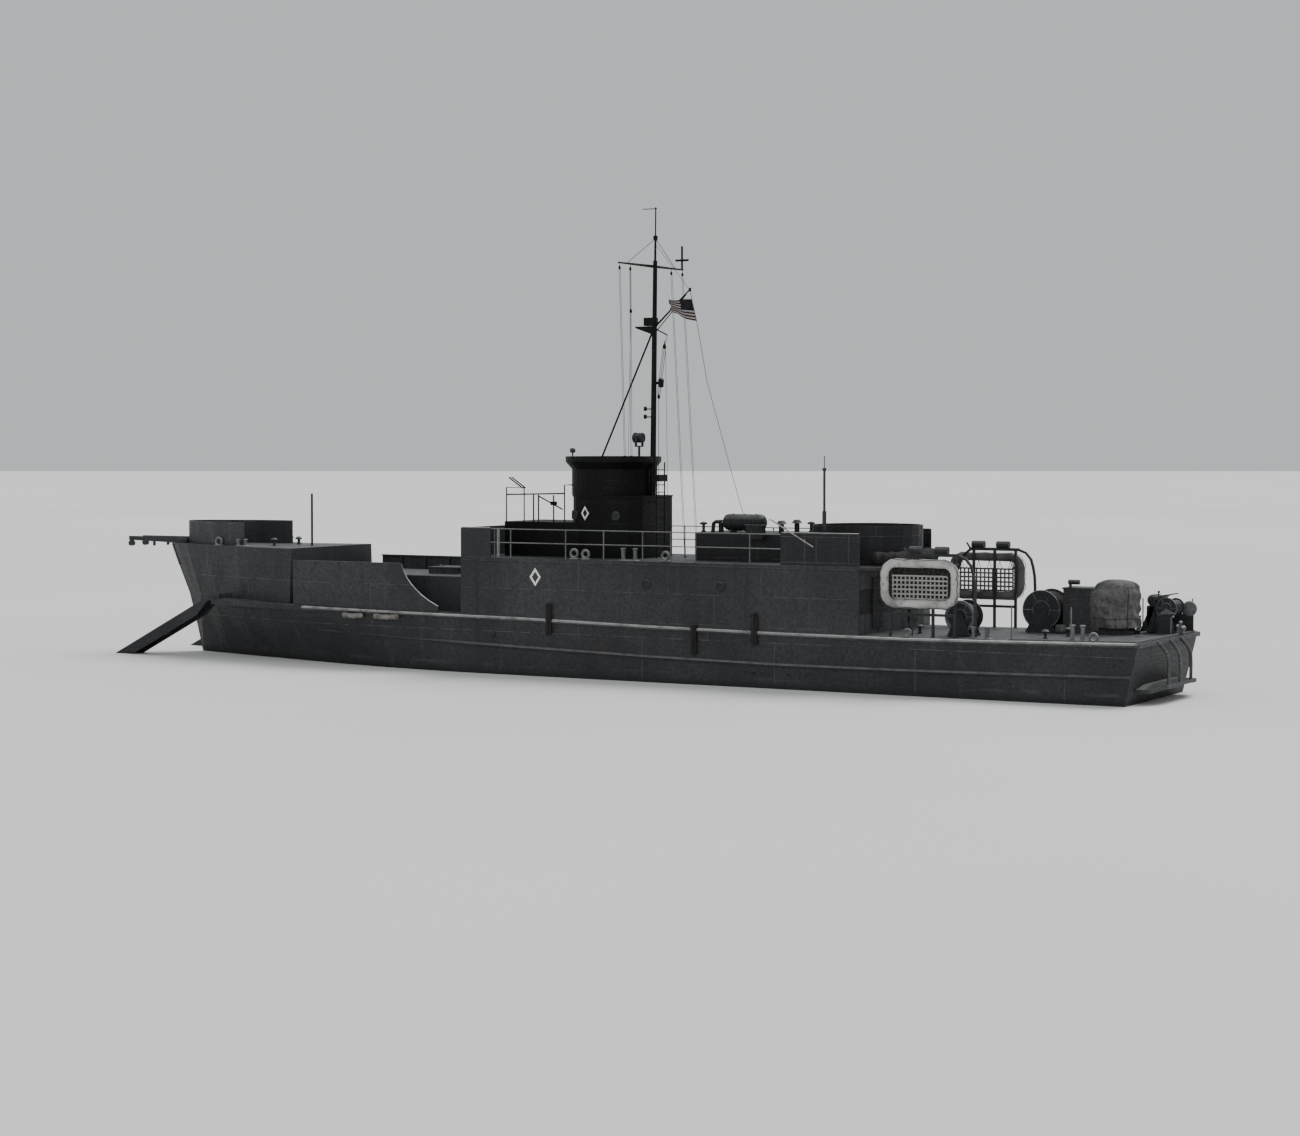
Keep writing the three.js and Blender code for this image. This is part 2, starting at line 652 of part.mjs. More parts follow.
// Mast, yard, crosstree, topmast and gaff in one welded spar, with its strut to the bridge.
function mastShape() {
  const foot = PILOT_TOP_Z + SEAT + 2;
  const at = (z, y = 0, dx = 0) => [mastX(z) + dx, y, z];
  const lower = rod(at(foot), at(MAST_STEP_Z), MAST_RADIUS, 12, 105);
  const upper = rod(at(MAST_STEP_Z - 200), at(YARD_Z + 220), 98, 10, 90);
  const head = rod(at(YARD_Z + 180), at(MAST_TOP_Z), 52, 8, 46);
  const topmast = rod(at(MAST_TOP_Z - 200), at(TOPMAST_Z), 28);
  const vane = rod(at(TOPMAST_Z - 60, 0, -60), at(TOPMAST_Z - 60, 0, 620), 18);
  const ahead = YARD_AHEAD;
  const yard = [-1, 1].map((side) => rod(
    at(YARD_Z, 0, ahead), at(YARD_Z, (side * YARD_LENGTH) / 2, ahead), 62, 8, 34,
  ));
  const truss = rod(at(YARD_Z), at(YARD_Z, 0, ahead), 45, 8);
  const lifts = [-1, 1].map((side) => rod(at(MAST_TOP_Z - 60), at(YARD_Z, side * 2060, ahead), 14));
  const crossEnd = -YARD_LENGTH / 2 + 90;
  const cross = [
    rod(at(YARD_Z, crossEnd, ahead), at(YARD_Z + 900, crossEnd, ahead), 22),
    rod(at(YARD_Z + 400, crossEnd, ahead - 290), at(YARD_Z + 400, crossEnd, ahead + 290), 20),
  ];
  const stepX = mastX(MAST_STEP_Z);
  const stepBox = box(stepX - 60, stepX + 420, -190, 190, 14520, 14860);
  const lampBracket = rod(at(12140), at(12140, 0, -340), 62, 8);
  const brackets = [lampBracket, ...[10730, 11060].map((z) => rod(at(z), at(z, 0, 420), 26))];
  const collar = rod(at(MAST_TOP_Z - 120), at(MAST_TOP_Z + 60), 95, 10);
  const gaff = rod(at(GAFF_ROOT_Z), GAFF_END, 45, 8, 30);
  const gaffBlock = rod([GAFF_END[0], 0, GAFF_END[2] - 90], [GAFF_END[0], 0, GAFF_END[2] + 60], 55, 8);
  const { topZ, footZ, radius } = HALYARD;
  const halyard = rod([halyardX(topZ), 0, topZ], [halyardX(footZ), 0, footZ], radius);
  const strutFootX = 1560;
  const strut = rod(at(14480), [strutFootX, 0, BRIDGE_Z + 60], 42);
  const strutFoot = rod([strutFootX, 0, BRIDGE_Z + SEAT], [strutFootX, 0, BRIDGE_Z + 160], 90, 8);
  const spars = [lower, upper, head, topmast, vane, ...yard, gaff, strut, strutFoot];
  return join([...spars, truss, ...lifts, ...cross, stepBox, ...brackets, collar, gaffBlock, halyard]);
}

// Ensign on its halyard below the gaff's end, flying forward past the gaff's port side.
const ENSIGN = { topZ: 15580, hoist: 880, fly: 1300 };

function ensignShape() {
  const { topZ, hoist, fly } = ENSIGN;
  const luffX = (z) => halyardX(z) + HALYARD.radius + 1 + SEAT;
  const steps = Array.from({ length: 10 }, (_, i) => i / 9);
  const rings = steps.map((t) => {
    const y = 85 * Math.min(1, t / 0.15) + 60 * t + 70 * t * Math.sin(t * Math.PI * 2.4);
    const top = [luffX(topZ) + fly * t, topZ + 30 * t];
    const foot = [luffX(topZ - hoist) + (fly + 120) * t, topZ - hoist + 540 * t];
    return [[foot[0], y - 10, foot[1]], [top[0], y - 10, top[1]], [top[0], y + 10, top[1]], [foot[0], y + 10, foot[1]]];
  });
  return loft(rings);
}

// Signal lamp: a post that turns, with a drum lamp that tilts in its fork.
const LAMP = { x: -1050, y: 300, axisZ: 9860 };

function lampYokeShape() {
  const { x, y, axisZ } = LAMP;
  return join([
    rod([x, y, BRIDGE_Z + SEAT], [x, y, axisZ - 330], 50, 10),
    box(x - 50, x + 50, y - 290, y + 290, axisZ - 380, axisZ - 330),
    ...[-1, 1].map((side) => box(x - 50, x + 50, y + side * 270 - 20, y + side * 270 + 20, axisZ - 360, axisZ + 60)),
  ]);
}

function lampShape() {
  const { x, y, axisZ } = LAMP;
  const half = 250 - SEAT;
  return join([
    rod([x - 190, y, axisZ], [x + 170, y, axisZ], 205, 14),
    rod([x + 150, y, axisZ], [x + 210, y, axisZ], 225, 14),
    rod([x, y - half, axisZ], [x, y + half, axisZ], 30, 8),
  ]);
}

// Screen along the forward deck: plate with a curved after edge and inside ribs.
function screenShape() {
  const [foreX, shoulderX, aftX] = [14650, 8900, 7000];
  const foot = spanX(aftX, foreX).map((x) => [x, deckZ(x) + SEAT]);
  const curve = [
    [shoulderX, SCREEN_TOP_Z], [8790, 4180], [8600, 3860], [8390, 3620], [8130, 3380],
    [7870, 3180], [7500, 2950], [aftX, 2720],
  ];
  const y = HALF_BEAM - 90;
  const plate = sidePlate([...foot, [foreX, SCREEN_TOP_Z], ...curve], y - 50, y);
  const ribs = [9600, 10900, 12200, 13500].map((x) => {
    const low = Math.max(deckZ(x - 30), deckZ(x + 30)) + SEAT;
    return sidePlate(rectangle(x - 30, x + 30, low, SCREEN_TOP_Z - 20), y - 170, y - 40);
  });
  const cap = box(shoulderX + 100, foreX, y - 130, y + 10, SCREEN_TOP_Z - 40, SCREEN_TOP_Z + 20);
  return join([plate, ...ribs, cap]);
}

// Raised trunk over the troop spaces, with two hatch coamings.
const TRUNK = { foreX: FORECASTLE_AFT_X - SEAT, aftX: 6200, half: 2250 };
const HATCHES = [{ name: 'fore', x: 13300 }, { name: 'aft', x: 8600 }];
const HATCH = { halfLength: 750, halfWidth: 650, height: 240, well: 1100 };

function trunkShape() {
  const { foreX, aftX, half } = TRUNK;
  const foot = spanX(aftX, foreX).map((x) => [x, deckZ(x) + SEAT]);
  const body = sidePlate([...foot, [foreX, TRUNK_TOP_Z], [aftX, TRUNK_TOP_Z]], -half, half);
  const { halfLength, halfWidth, height, well } = HATCH;
  const coamings = HATCHES.map(({ x }) => box(
    x - halfLength, x + halfLength, -halfWidth, halfWidth, TRUNK_TOP_Z - 20, TRUNK_TOP_Z + height,
  ));
  const wells = HATCHES.map(({ x }) => box(
    x - halfLength + PLATE, x + halfLength - PLATE, -halfWidth + PLATE, halfWidth - PLATE,
    TRUNK_TOP_Z + height - well, TRUNK_TOP_Z + height + 100,
  ));
  return cut(join([body, ...coamings]), wells);
}

function hatchLidShape(x) {
  const { halfLength, halfWidth, height } = HATCH;
  const foot = TRUNK_TOP_Z + height + SEAT;
  return join([
    box(x - halfLength - 40, x + halfLength + 40, -halfWidth - 40, halfWidth + 40, foot, foot + 55),
    rod([x + halfLength - 200, -150, foot + 95], [x + halfLength - 200, 150, foot + 95], 20),
    ...[-150, 150].map((y) => box(x + halfLength - 220, x + halfLength - 180, y - 20, y + 20, foot + 40, foot + 110)),
  ]);
}

// Platform shield on the forecastle, open aft.
function bowShieldShape() {
  const half = [[18620, 1800], [20500, 1560], [21850, 1040], [22680, 560], [23050, 260]];
  const outer = [...half, ...half.map(([x, y]) => [x, -y]).reverse()];
  const inner = half.map(([x, y], i) => [x - 14 * i, y - PLATE]);
  const outline = [...outer, ...inner.map(([x, y]) => [x, -y]), ...[...inner].reverse()];
  return planPlate(outline, FORECASTLE_Z + SEAT, 6060);
}

// Cathead booms that carry the ramps' lifting tackle, tied across on the forecastle deck.
function catheadsShape() {
  const [y0, y1, low, headX] = [420, 550, FORECASTLE_Z + SEAT, 26300];
  const boom = [[22960, low], [23500, low], [headX + 120, low + 90], [headX + 120, low + 270], [23500, low + 270],
    [22960, low + 200]];
  const beam = sidePlate(boom, y0, y1);
  const sheave = rod([headX, y0 - 40, low - 60], [headX, y1 + 40, low - 60], 130, 12);
  const hanger = box(headX - 80, headX + 80, y0, y1, low - 60, low + 120);
  const lug = box(24900, 24980, y0 + 10, y1 - 10, low - 160, low + 100);
  const side = join([beam, sheave, hanger, lug]);
  const tie = box(23260, 23380, -y0 - 20, y0 + 20, low, low + 110);
  return join([side, mirrored(side), tie]);
}

// Ramp built with its pivot at the origin, its length along +X and its tread on top, then
// lowered by its slope.
function rampShape() {
  const half = RAMP_WIDTH / 2;
  const girder = [[-60, 60], [-60, -90], [250, -130], [1000, -RAMP_DEPTH], [5900, -RAMP_DEPTH],
    [RAMP_LENGTH, -200], [RAMP_LENGTH, 60]];
  const girders = [-1, 1].map((side) => {
    const y = side * (half - 50);
    return sidePlate(girder, y - 35, y + 35);
  });
  const tread = box(40, RAMP_LENGTH - 20, -half + 30, half - 30, -20, 30);
  const cleats = Array.from({ length: 16 }, (_, i) => {
    const x = 380 + i * 400;
    return box(x, x + 50, -half + 50, half - 50, 20, 62);
  });
  const floors = [1500, 3200, 4900, 5800].map((x) => box(x, x + 60, -half + 30, half - 30, -RAMP_DEPTH + 60, -10));
  const pivot = rod([0, -half, 0], [0, half, 0], 62, 10);
  return join([...girders, tread, ...cleats, ...floors, pivot])
    .rotateY(THREE.MathUtils.degToRad(RAMP_SLOPE_DEG))
    .translate(RAMP_PIVOT_X, RAMP_Y, RAMP_PIVOT_Z);
}

// Life raft: a fat oval float with a slatted floor, hung upright outboard of its rack.
const RAFT = { x: -15120, y: 3330, z: 4290, halfLength: 1630, halfHeight: 950, tube: 205 };

function raftShape() {
  const { x, y, z, halfLength, halfHeight, tube } = RAFT;
  const bend = 480;
  const [u, v] = [halfLength - tube - bend, halfHeight - tube - bend];
  const corners = [
    ...arc(u, v, bend, 0, 90, 4),
    ...arc(-u, v, bend, 90, 180, 4),
    ...arc(-u, -v, bend, 180, 270, 4),
    ...arc(u, -v, bend, 270, 360, 4),
  ];
  const sides = 8;
  const n = corners.length;
  const position = [];
  const index = [];
  corners.forEach(([cu, cv], i) => {
    const [pu, pv] = corners[(i + n - 1) % n];
    const [nu, nv] = corners[(i + 1) % n];
    const way = Math.atan2(nv - pv, nu - pu);
    for (let j = 0; j < sides; j += 1) {
      const a = ((j + 0.5) * 2 * Math.PI) / sides;
      const out = tube * Math.cos(a);
      position.push(x + cu + out * Math.sin(way), y + tube * Math.sin(a), z + cv - out * Math.cos(way));
      const [i1, j1] = [(i + 1) % n, (j + 1) % sides];
      index.push(i * sides + j, i1 * sides + j, i1 * sides + j1, i * sides + j, i1 * sides + j1, i * sides + j1);
    }
  });
  const float = meshOf(position, index);
  const slats = Array.from({ length: 6 }, (_, i) => {
    const at = z - 620 + i * 200;
    return box(x - 1290, x + 1290, y - 30, y + 5, at, at + 70);
  });
  const bearers = [-1120, -560, 0, 560, 1120].map((du) => box(
    x + du - 40, x + du + 40, y - 70, y - 25, z - 780, z + 780,
  ));
  return join([float, ...slats, ...bearers]);
}

// Rack inboard of the raft: uprights, top bar, a bowed bar at each end and two canisters.
function raftRackShape() {
  const { x, y, tube } = RAFT;
  const at = y - tube * Math.cos(Math.PI / 8) - 60 - SEAT;
  const uprights = [-1350, -450, 450].map((du) => {
    const foot = seatZ(x + du - 50, x + du + 50);
    return box(x + du - 45, x + du + 45, at - 60, at + 60, foot, 5420);
  });
  const top = box(x - 1500, x + 640, at - 60, at + 60, 5330, 5450);
  const low = box(x - 1400, x + 1340, at - 50, at + 50, 3050, 3150);
  const hook = rod([x + 600, at, 5400], [x + 760, at, 5640], 40);
  // Bows from the top bar to the deck. Columns: distance along from the raft's middle, z.
  const bows = [
    [[-1450, 5390], [-1900, 5180], [-2130, 4500], [-2180, 3600], [-2180, seatZ(x - 2240, x - 2120)]],
    [[560, 5390], [760, 5270], [1120, 4650], [1320, 3700], [1320, seatZ(x + 1260, x + 1380)]],
  ];
  const section = new THREE.Shape([[-50, -45], [50, -45], [50, 45], [-50, 45]].map(([u, v]) => new THREE.Vector2(u, v)));
  const bars = bows.map((points) => {
    const path = new THREE.CatmullRomCurve3(points.map(([du, z]) => new THREE.Vector3(x + du, at, z)));
    return new THREE.ExtrudeGeometry(section, { steps: 10, extrudePath: path, bevelEnabled: false });
  });
  const canisters = [-810, 250].map((du) => rod([x + du - 260, at, 5570], [x + du + 260, at, 5570], 150, 10));
  return join([...uprights, top, low, hook, ...bars, ...canisters]);
}

// Drum on a stand, its axis athwartships. The drum turns between two cheeks.
function drumShape({ x, y, z, half, radius, flange }) {
  return join([
    rod([x, y - half, z], [x, y + half, z], radius, 20),
    ...[-1, 1].map((side) => rod(
      [x, y + side * (half - 30), z], [x, y + side * (half + 30), z], flange[side < 0 ? 0 : 1], 24,
    )),
    rod([x, y - half - 90, z], [x, y + half + 90, z], 55, 10),
  ]);
}

function drumStandShape({ x, y, z, half, reach }) {
  const foot = seatZ(x - reach, x + reach);
  const cheeks = [-1, 1].map((side) => {
    const inner = y + side * (half + 90 + SEAT);
    const outer = inner + side * 60;
    const outline = [[x - reach, foot], [x + reach, foot], [x + 110, z + 110], [x - 110, z + 110]];
    return sidePlate(outline, Math.min(inner, outer), Math.max(inner, outer));
  });
  const ties = [-1, 1].map((side) => box(
    x + side * (reach - 60) - 50, x + side * (reach - 60) + 50, y - half - 140, y + half + 140, foot, foot + 90,
  ));
  return join([...cheeks, ...ties]);
}

// Drums on the after deck. A drum's flanges are listed starboard first.
const REEL = { x: -16350, y: 1900, z: 3020, half: 380, radius: 420, flange: [620, 620], reach: 480 };
const HAWSER = { x: -18400, y: -1500, z: 3160, half: 560, radius: 640, flange: [780, 780], reach: 620 };
const WINCH = { x: -23200, y: -2180, z: 3340, half: 560, radius: 230, flange: [340, 420], reach: 400 };

// Escape trunk on the after deck, with an exhaust silencer on its lid.
function escapeTrunkShape() {
  const [x0, x1, y0, y1] = [-20370, -19260, -2150, -1000];
  const [lid, silencerY, silencerZ, pipeX] = [4060, -1150, 4270, -19500];
  return join([
    box(x0, x1, y0, y1, seatZ(x0, x1), lid - 40),
    box(x0 - 40, x1 + 35, y0 - 40, y1 + 40, lid - 60, lid),
    rod([pipeX, silencerY, lid - 20], [pipeX, silencerY, silencerZ], 60, 8),
    rod([-19870, silencerY, silencerZ], [-19430, silencerY, silencerZ], 95, 10),
  ]);
}

// Winch engine under its canvas cover: a crowned box that leans in towards the top.
function coveredEngineShape() {
  const [cx, cy] = [-21450, -1000];
  const foot = seatZ(-22350, -20550);
  // Columns: height above the deck, half length, half width.
  const levels = [[0, 860, 640], [500, 850, 640], [1450, 820, 610], [1900, 740, 540], [2120, 480, 340]];
  return loft(levels.map(([up, hx, hy]) => {
    const soft = Math.min(hx, hy) * 0.3;
    return [
      [cx + hx, cy - hy + soft], [cx + hx, cy + hy - soft], [cx + hx - soft, cy + hy], [cx - hx + soft, cy + hy],
      [cx - hx, cy + hy - soft], [cx - hx, cy - hy + soft], [cx - hx + soft, cy - hy], [cx + hx - soft, cy - hy],
    ].map(([x, y]) => [x, y, foot + up]);
  }));
}

// Bare posts along the after deck on a foot bar that runs round the stern.
const STERN_POSTS = { port: [-18870, -21220], starboard: [-18870, -21670, -23660] };

function sternRailShape() {
  const y = HALF_BEAM - 110;
  const [sternX, foreX] = [STATIONS[0].x + 80, -18800];
  const side = (posts) => {
    const foot = spanX(sternX, foreX).map((x) => [x, deckZ(x) + SEAT]);
    const bar = sidePlate([...foot, ...[...foot].reverse().map(([x, z]) => [x, z + 45])], y - 35, y + 35);
    return join([bar, ...posts.map((x) => rod([x, y, deckZ(x) + 20], [x, y, deckZ(x) + 1270], 26))]);
  };
  const sternFoot = seatZ(sternX, sternX + 70);
  const across = box(sternX, sternX + 70, -y, y, sternFoot, sternFoot + 45);
  return join([side(STERN_POSTS.port), mirrored(side(STERN_POSTS.starboard)), across]);
}

// Stern tube, shaft and strut below the hull.
function shaftShape() {
  const [radius, strutX] = [70, -20550];
  const foreX = -16860;
  const arm = sidePlate([
    [strutX - 150, SHAFT_Z], [strutX + 150, SHAFT_Z],
    [strutX + 150, bottomZ(strutX + 150, SHAFT_Y - 30) - SEAT],
    [strutX - 150, bottomZ(strutX - 150, SHAFT_Y - 30) - SEAT],
  ], SHAFT_Y - 30, SHAFT_Y + 30);
  return join([
    rod([PROPELLER_X + 190, SHAFT_Y, SHAFT_Z], [foreX, SHAFT_Y, SHAFT_Z], radius, 12),
    rod([PROPELLER_X + 190, SHAFT_Y, SHAFT_Z], [strutX + 260, SHAFT_Y, SHAFT_Z], 120, 12),
    arm,
  ]);
}

function propellerShape() {
  const blade = (turnDeg) => {
    const steps = [0.12, 0.3, 0.5, 0.7, 0.88, 1];
    const chord = [0.16, 0.3, 0.4, 0.42, 0.3, 0.08];
    const rings = steps.map((s, i) => {
      const r = PROPELLER_RADIUS * s;
      const pitch = Math.atan2(0.7, Math.PI * 2 * s * 0.9);
      const half = PROPELLER_RADIUS * chord[i];
      const [cx, cy] = [Math.sin(pitch) * half, Math.cos(pitch) * half];
      const thin = 22 - 14 * s;
      const [tx, ty] = [Math.cos(pitch) * thin, -Math.sin(pitch) * thin];
      return [[-cx, -cy, r], [-tx, -ty, r], [cx, cy, r], [tx, ty, r]];
    });
    return loft(rings).rotateX(THREE.MathUtils.degToRad(turnDeg));
  };
  const hub = rod([-190, 0, 0], [190 - SEAT, 0, 0], 115, 14);
  const cone = rod([-290, 0, 0], [-180, 0, 0], 40, 14, 110);
  return join([hub, cone, blade(0), blade(120), blade(240)]).translate(PROPELLER_X, SHAFT_Y, SHAFT_Z);
}

function rudderShape() {
  const chord = [[-22220, 10], [-22300, 42], [-22500, 50], [-22900, 32], [-23320, 8]];
  const outline = [...chord, ...chord.map(([x, y]) => [x, -y]).reverse()];
  const blade = planPlate(outline.map(([x, y]) => [x, y + SHAFT_Y]), -1400, -560);
  const top = RUDDER_SEAT_Z - SEAT;
  return join([blade, rod([RUDDER_X, SHAFT_Y, -600], [RUDDER_X, SHAFT_Y, top], 48, 12)]);
}

function whipAerialShape() {
  const [x, y, socketZ] = [-10880, 2900, 8620];
  return join([
    rod([x, y, BOAT_DECK_Z + SEAT], [x, y, 7000], 85, 8),
    rod([x, y, 6950], [x, y, socketZ], 52, 8),
    rod([x, y, socketZ - 60], [x, y, socketZ + 60], 80, 8),
    rod([x, y, socketZ], [x, y, 9160], 18),
  ]);
}

// Assembly
piece('hull', hullShape(), 'hull');
piece('forecastle', forecastleShape(), 'hull');
piece('upper_guard', upperGuardShape(), 'guard');
pair('house_side', sheerPlate(HOUSE_AFT_X, HOUSE_FORE_X, HOUSE_WALL_TOP, HALF_BEAM - WALL, HALF_BEAM), 'house');
piece('house_front', frontPlate(
  rectangle(-HALF_BEAM + WALL + SEAT, HALF_BEAM - WALL - SEAT, deckZ(HOUSE_FORE_X) + SEAT, HOUSE_WALL_TOP),
  HOUSE_FORE_X - WALL, HOUSE_FORE_X,
), 'house');
piece('house_aft', houseAftShape(), 'house');
pair('aft_door', aftDoorShape(), 'house');
piece('boat_deck', boatDeckShape(), 'deck');
piece('boat_deck_bulwark', boatDeckBulwarkShape(), 'house');
pair('boat_deck_rail', railShape(), 'guard');
pair('side_shield', sideShieldShape(), 'house');
piece('after_tub', tubShape(-11400, 2200, 6400), 'house');
const pilotHouse = pilotHouseShape();
piece('pilot_house', pilotHouse.walls, 'house');
piece('pilot_house_roof', pilotHouse.roof, 'deck');
piece('pilot_house_door', pilotDoorShape(), 'house');
piece('chart_house', chartHouseShape(), 'house');
piece('engine_casing', casingShape(), 'house');
piece('tower', towerShape(), 'house');
piece('tower_ladder', towerLadderShape(), 'steel');
piece('signal_lamp_yoke', lampYokeShape(), 'steel');
piece('signal_lamp', lampShape(), 'steel');
piece('mast', mastShape(), 'steel');
piece('ensign', ensignShape(), 'bunting');
pair('deck_screen', screenShape(), 'house');
piece('troop_trunk', trunkShape(), 'deck');
for (const { name, x } of HATCHES) {
  piece(`hatch_lid_${name}`, hatchLidShape(x), 'deck');
}
piece('bow_shield', bowShieldShape(), 'house');
piece('catheads', catheadsShape(), 'steel');
piece('ramp_port', rampShape(), 'steel');
piece('ramp_starboard', mirrored(rampShape()), 'steel');
pair('raft', raftShape(), 'raft');
pair('raft_rack', raftRackShape(), 'steel');
piece('cable_reel', drumShape(REEL), 'steel');
piece('cable_reel_stand', drumStandShape(REEL), 'steel');
piece('hawser_drum', drumShape(HAWSER), 'steel');
piece('hawser_drum_stand', drumStandShape(HAWSER), 'steel');
piece('escape_trunk', escapeTrunkShape(), 'house');
piece('covered_engine', coveredEngineShape(), 'canvas');
piece('winch_drum', drumShape(WINCH), 'steel');
piece('winch_stand', drumStandShape(WINCH), 'steel');
piece('stern_rail', sternRailShape(), 'guard');
pair('shaft', shaftShape(), 'steel');
pair('propeller', propellerShape(), 'bronze');
pair('rudder', rudderShape(), 'steel');
piece('whip_aerial', whipAerialShape(), 'steel');

craft.scale.setScalar(MODEL_SCALE);
export default craft;
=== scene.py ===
# %% [markdown]
# # A large infantry landing craft, dressed
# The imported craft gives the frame: hull, houses, mast, ramps and deck gear, each with its
# own place. This lesson gives them paint, rust and rope, and adds the small fittings and
# the cloth. The model is half the size of the real craft. Shapes are written in full-size
# metres and halved where their mesh is made. The paint is in the model's own metres.

import json
import math

import bmesh
import bpy
import numpy as np
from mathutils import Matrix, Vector


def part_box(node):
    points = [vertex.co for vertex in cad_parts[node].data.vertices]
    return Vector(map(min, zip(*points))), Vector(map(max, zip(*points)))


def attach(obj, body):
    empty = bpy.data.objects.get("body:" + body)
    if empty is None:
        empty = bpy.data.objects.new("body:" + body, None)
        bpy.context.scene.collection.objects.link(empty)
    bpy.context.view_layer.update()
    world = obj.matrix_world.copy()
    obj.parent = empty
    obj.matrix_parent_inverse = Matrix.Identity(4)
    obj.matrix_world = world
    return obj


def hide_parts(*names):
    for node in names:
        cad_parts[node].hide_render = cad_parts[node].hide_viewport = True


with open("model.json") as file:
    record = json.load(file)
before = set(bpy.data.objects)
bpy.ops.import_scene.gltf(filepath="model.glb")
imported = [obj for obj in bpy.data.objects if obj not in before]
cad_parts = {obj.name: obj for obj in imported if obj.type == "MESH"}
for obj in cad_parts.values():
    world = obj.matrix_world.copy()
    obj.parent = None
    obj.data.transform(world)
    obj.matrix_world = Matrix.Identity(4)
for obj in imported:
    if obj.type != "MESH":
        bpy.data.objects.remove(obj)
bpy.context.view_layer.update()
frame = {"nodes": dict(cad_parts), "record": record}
nodes = frame["nodes"]

# %% [markdown]
# ## Camera
# The craft was photographed from its port quarter, from a little above the boat deck, with
# a long lens. The place of the camera follows from the known length and beam of the hull.
# A small vertical shift keeps the horizon where the photo has it, without tilting the masts.

# %% Camera
MODEL = 0.5
CAMERA_AT = (-55.3, 94.5, 9.8)
IMAGE_WIDTH, FOCAL_PIXELS, SHIFT_PIXELS = 1300, 2605, -46
YAW, PITCH = math.radians(29.7), math.radians(1.82)


def in_scene(name, data):
    """A new object for a mesh, a camera or a lamp, linked to the scene."""
    made = bpy.data.objects.new(name, data)
    bpy.context.scene.collection.objects.link(made)
    return made


lens = bpy.data.cameras.new("camera")
lens.sensor_width = 36.0
lens.lens = FOCAL_PIXELS / IMAGE_WIDTH * lens.sensor_width
lens.shift_y = SHIFT_PIXELS / IMAGE_WIDTH
lens.clip_end = 400
camera = in_scene("camera", lens)
camera.location = [v * MODEL for v in CAMERA_AT]
level = math.cos(PITCH)
looking = Vector((math.sin(YAW) * level, -math.cos(YAW) * level, -math.sin(PITCH)))
camera.rotation_euler = looking.to_track_quat("-Z", "Y").to_euler()
bpy.context.scene.camera = camera
print("camera at", [round(v, 2) for v in camera.location])

# %% [markdown]
# ## Building surfaces
# Every new piece is a skin: rings of points, one after another, with four-sided faces
# between neighbouring rings and one flat face over each end. A pipe, a turned post, a
# chamfered block and a plate are all skins, so a few short functions make them all.


# %% Skins from rings of points
def turns(count):
    """Angles in equal steps round a full circle."""
    return np.linspace(0, 2 * np.pi, count, endpoint=False)


def unit(ways):
    """The same ways, each of length 1."""
    ways = np.asarray(ways, float)
    return ways / np.linalg.norm(ways, axis=-1, keepdims=True)


def square_to(axis):
    """Two directions that are square to an axis."""
    side = unit(np.cross(axis, np.eye(3)[np.argmin(np.abs(axis))]))
    return side, np.cross(axis, side)


def grid_quads(rows, columns, rows_close=False, columns_close=True):
    """Four-sided faces between the neighbouring points of a grid."""
    i = np.arange(rows if rows_close else rows - 1)[:, None]
    k = np.arange(columns if columns_close else columns - 1)[None, :]
    ahead, beside = (i + 1) % rows, (k + 1) % columns
    corners = (i * columns + k, i * columns + beside, ahead * columns + beside, ahead * columns + k)
    return np.stack(corners, axis=-1).reshape(-1, 4)


def skin(rings, closed=False):
    """Faces between neighbouring rings of equal count. Open skins get a face at each end."""
    rings = np.asarray(rings, float)
    n, m, _ = rings.shape
    faces = grid_quads(n, m, rows_close=closed).tolist()
    if not closed:
        faces += [list(range(m))[::-1], list(range((n - 1) * m, n * m))]
    return rings.reshape(-1, 3), faces


def pipe(path, radius, sides=8, closed=False):
    """A round section carried along a path, square to the path's way at each of its points."""
    path = np.asarray(path, float)
    way = unit(np.roll(path, -1, 0) - np.roll(path, 1, 0) if closed else np.gradient(path, axis=0))
    axis = np.eye(3)[np.argmin(np.abs(way).max(axis=0))]
    side = unit(np.cross(way, axis))
    up = np.cross(way, side)
    turn = turns(sides)[None, :, None]
    reach = np.broadcast_to(np.asarray(radius, float), len(path))[:, None, None]
    return skin(path[:, None] + reach * (np.cos(turn) * side[:, None] + np.sin(turn) * up[:, None]), closed)


def turned(profile, foot, axis=(0, 0, 1), sides=16):
    """A profile of (radius, height) pairs swung round an axis that starts at the foot."""
    r, h = np.asarray(profile, float).T
    axis = unit(axis)
    side, up = square_to(axis)
    turn = turns(sides)[None, :, None]
    middle = np.asarray(foot, float) + h[:, None] * axis
    return skin(middle[:, None] + r[:, None, None] * (np.cos(turn) * side + np.sin(turn) * up))


def ring_of(centre, radius, thick, axis=(0, 1, 0), steps=24, sides=8):
    """A torus: a circle about an axis, as a closed pipe."""
    side, up = square_to(axis)
    turn = turns(steps)[:, None]
    circle = radius * (np.cos(turn) * side + np.sin(turn) * up)
    return pipe(np.asarray(centre, float) + circle, thick, sides, closed=True)


def block(low, high, c=0.01):
    """A box whose edges are cut at 45 degrees by c: four rings of eight points, drawn in at both ends."""
    (x0, y0, z0), (x1, y1, z1) = low, high

    def ring(z, inset):
        a, b, d, e = x0 + inset, x1 - inset, y0 + inset, y1 - inset
        return [(a + c, d, z), (b - c, d, z), (b, d + c, z), (b, e - c, z),
                (b - c, e, z), (a + c, e, z), (a, e - c, z), (a, d + c, z)]

    return skin([ring(z0, c), ring(z0 + c, 0), ring(z1 - c, 0), ring(z1, c)])


def slab(x, y, half_x, half_y, low, high, c=0.01):
    """A block about a place in plan, between two heights."""
    return block((x - half_x, y - half_y, low), (x + half_x, y + half_y, high), c)


def both_sides(parts):
    """The parts and their mirror images across the centreline."""
    return parts + [(points * (1, -1, 1), faces) for points, faces in parts]


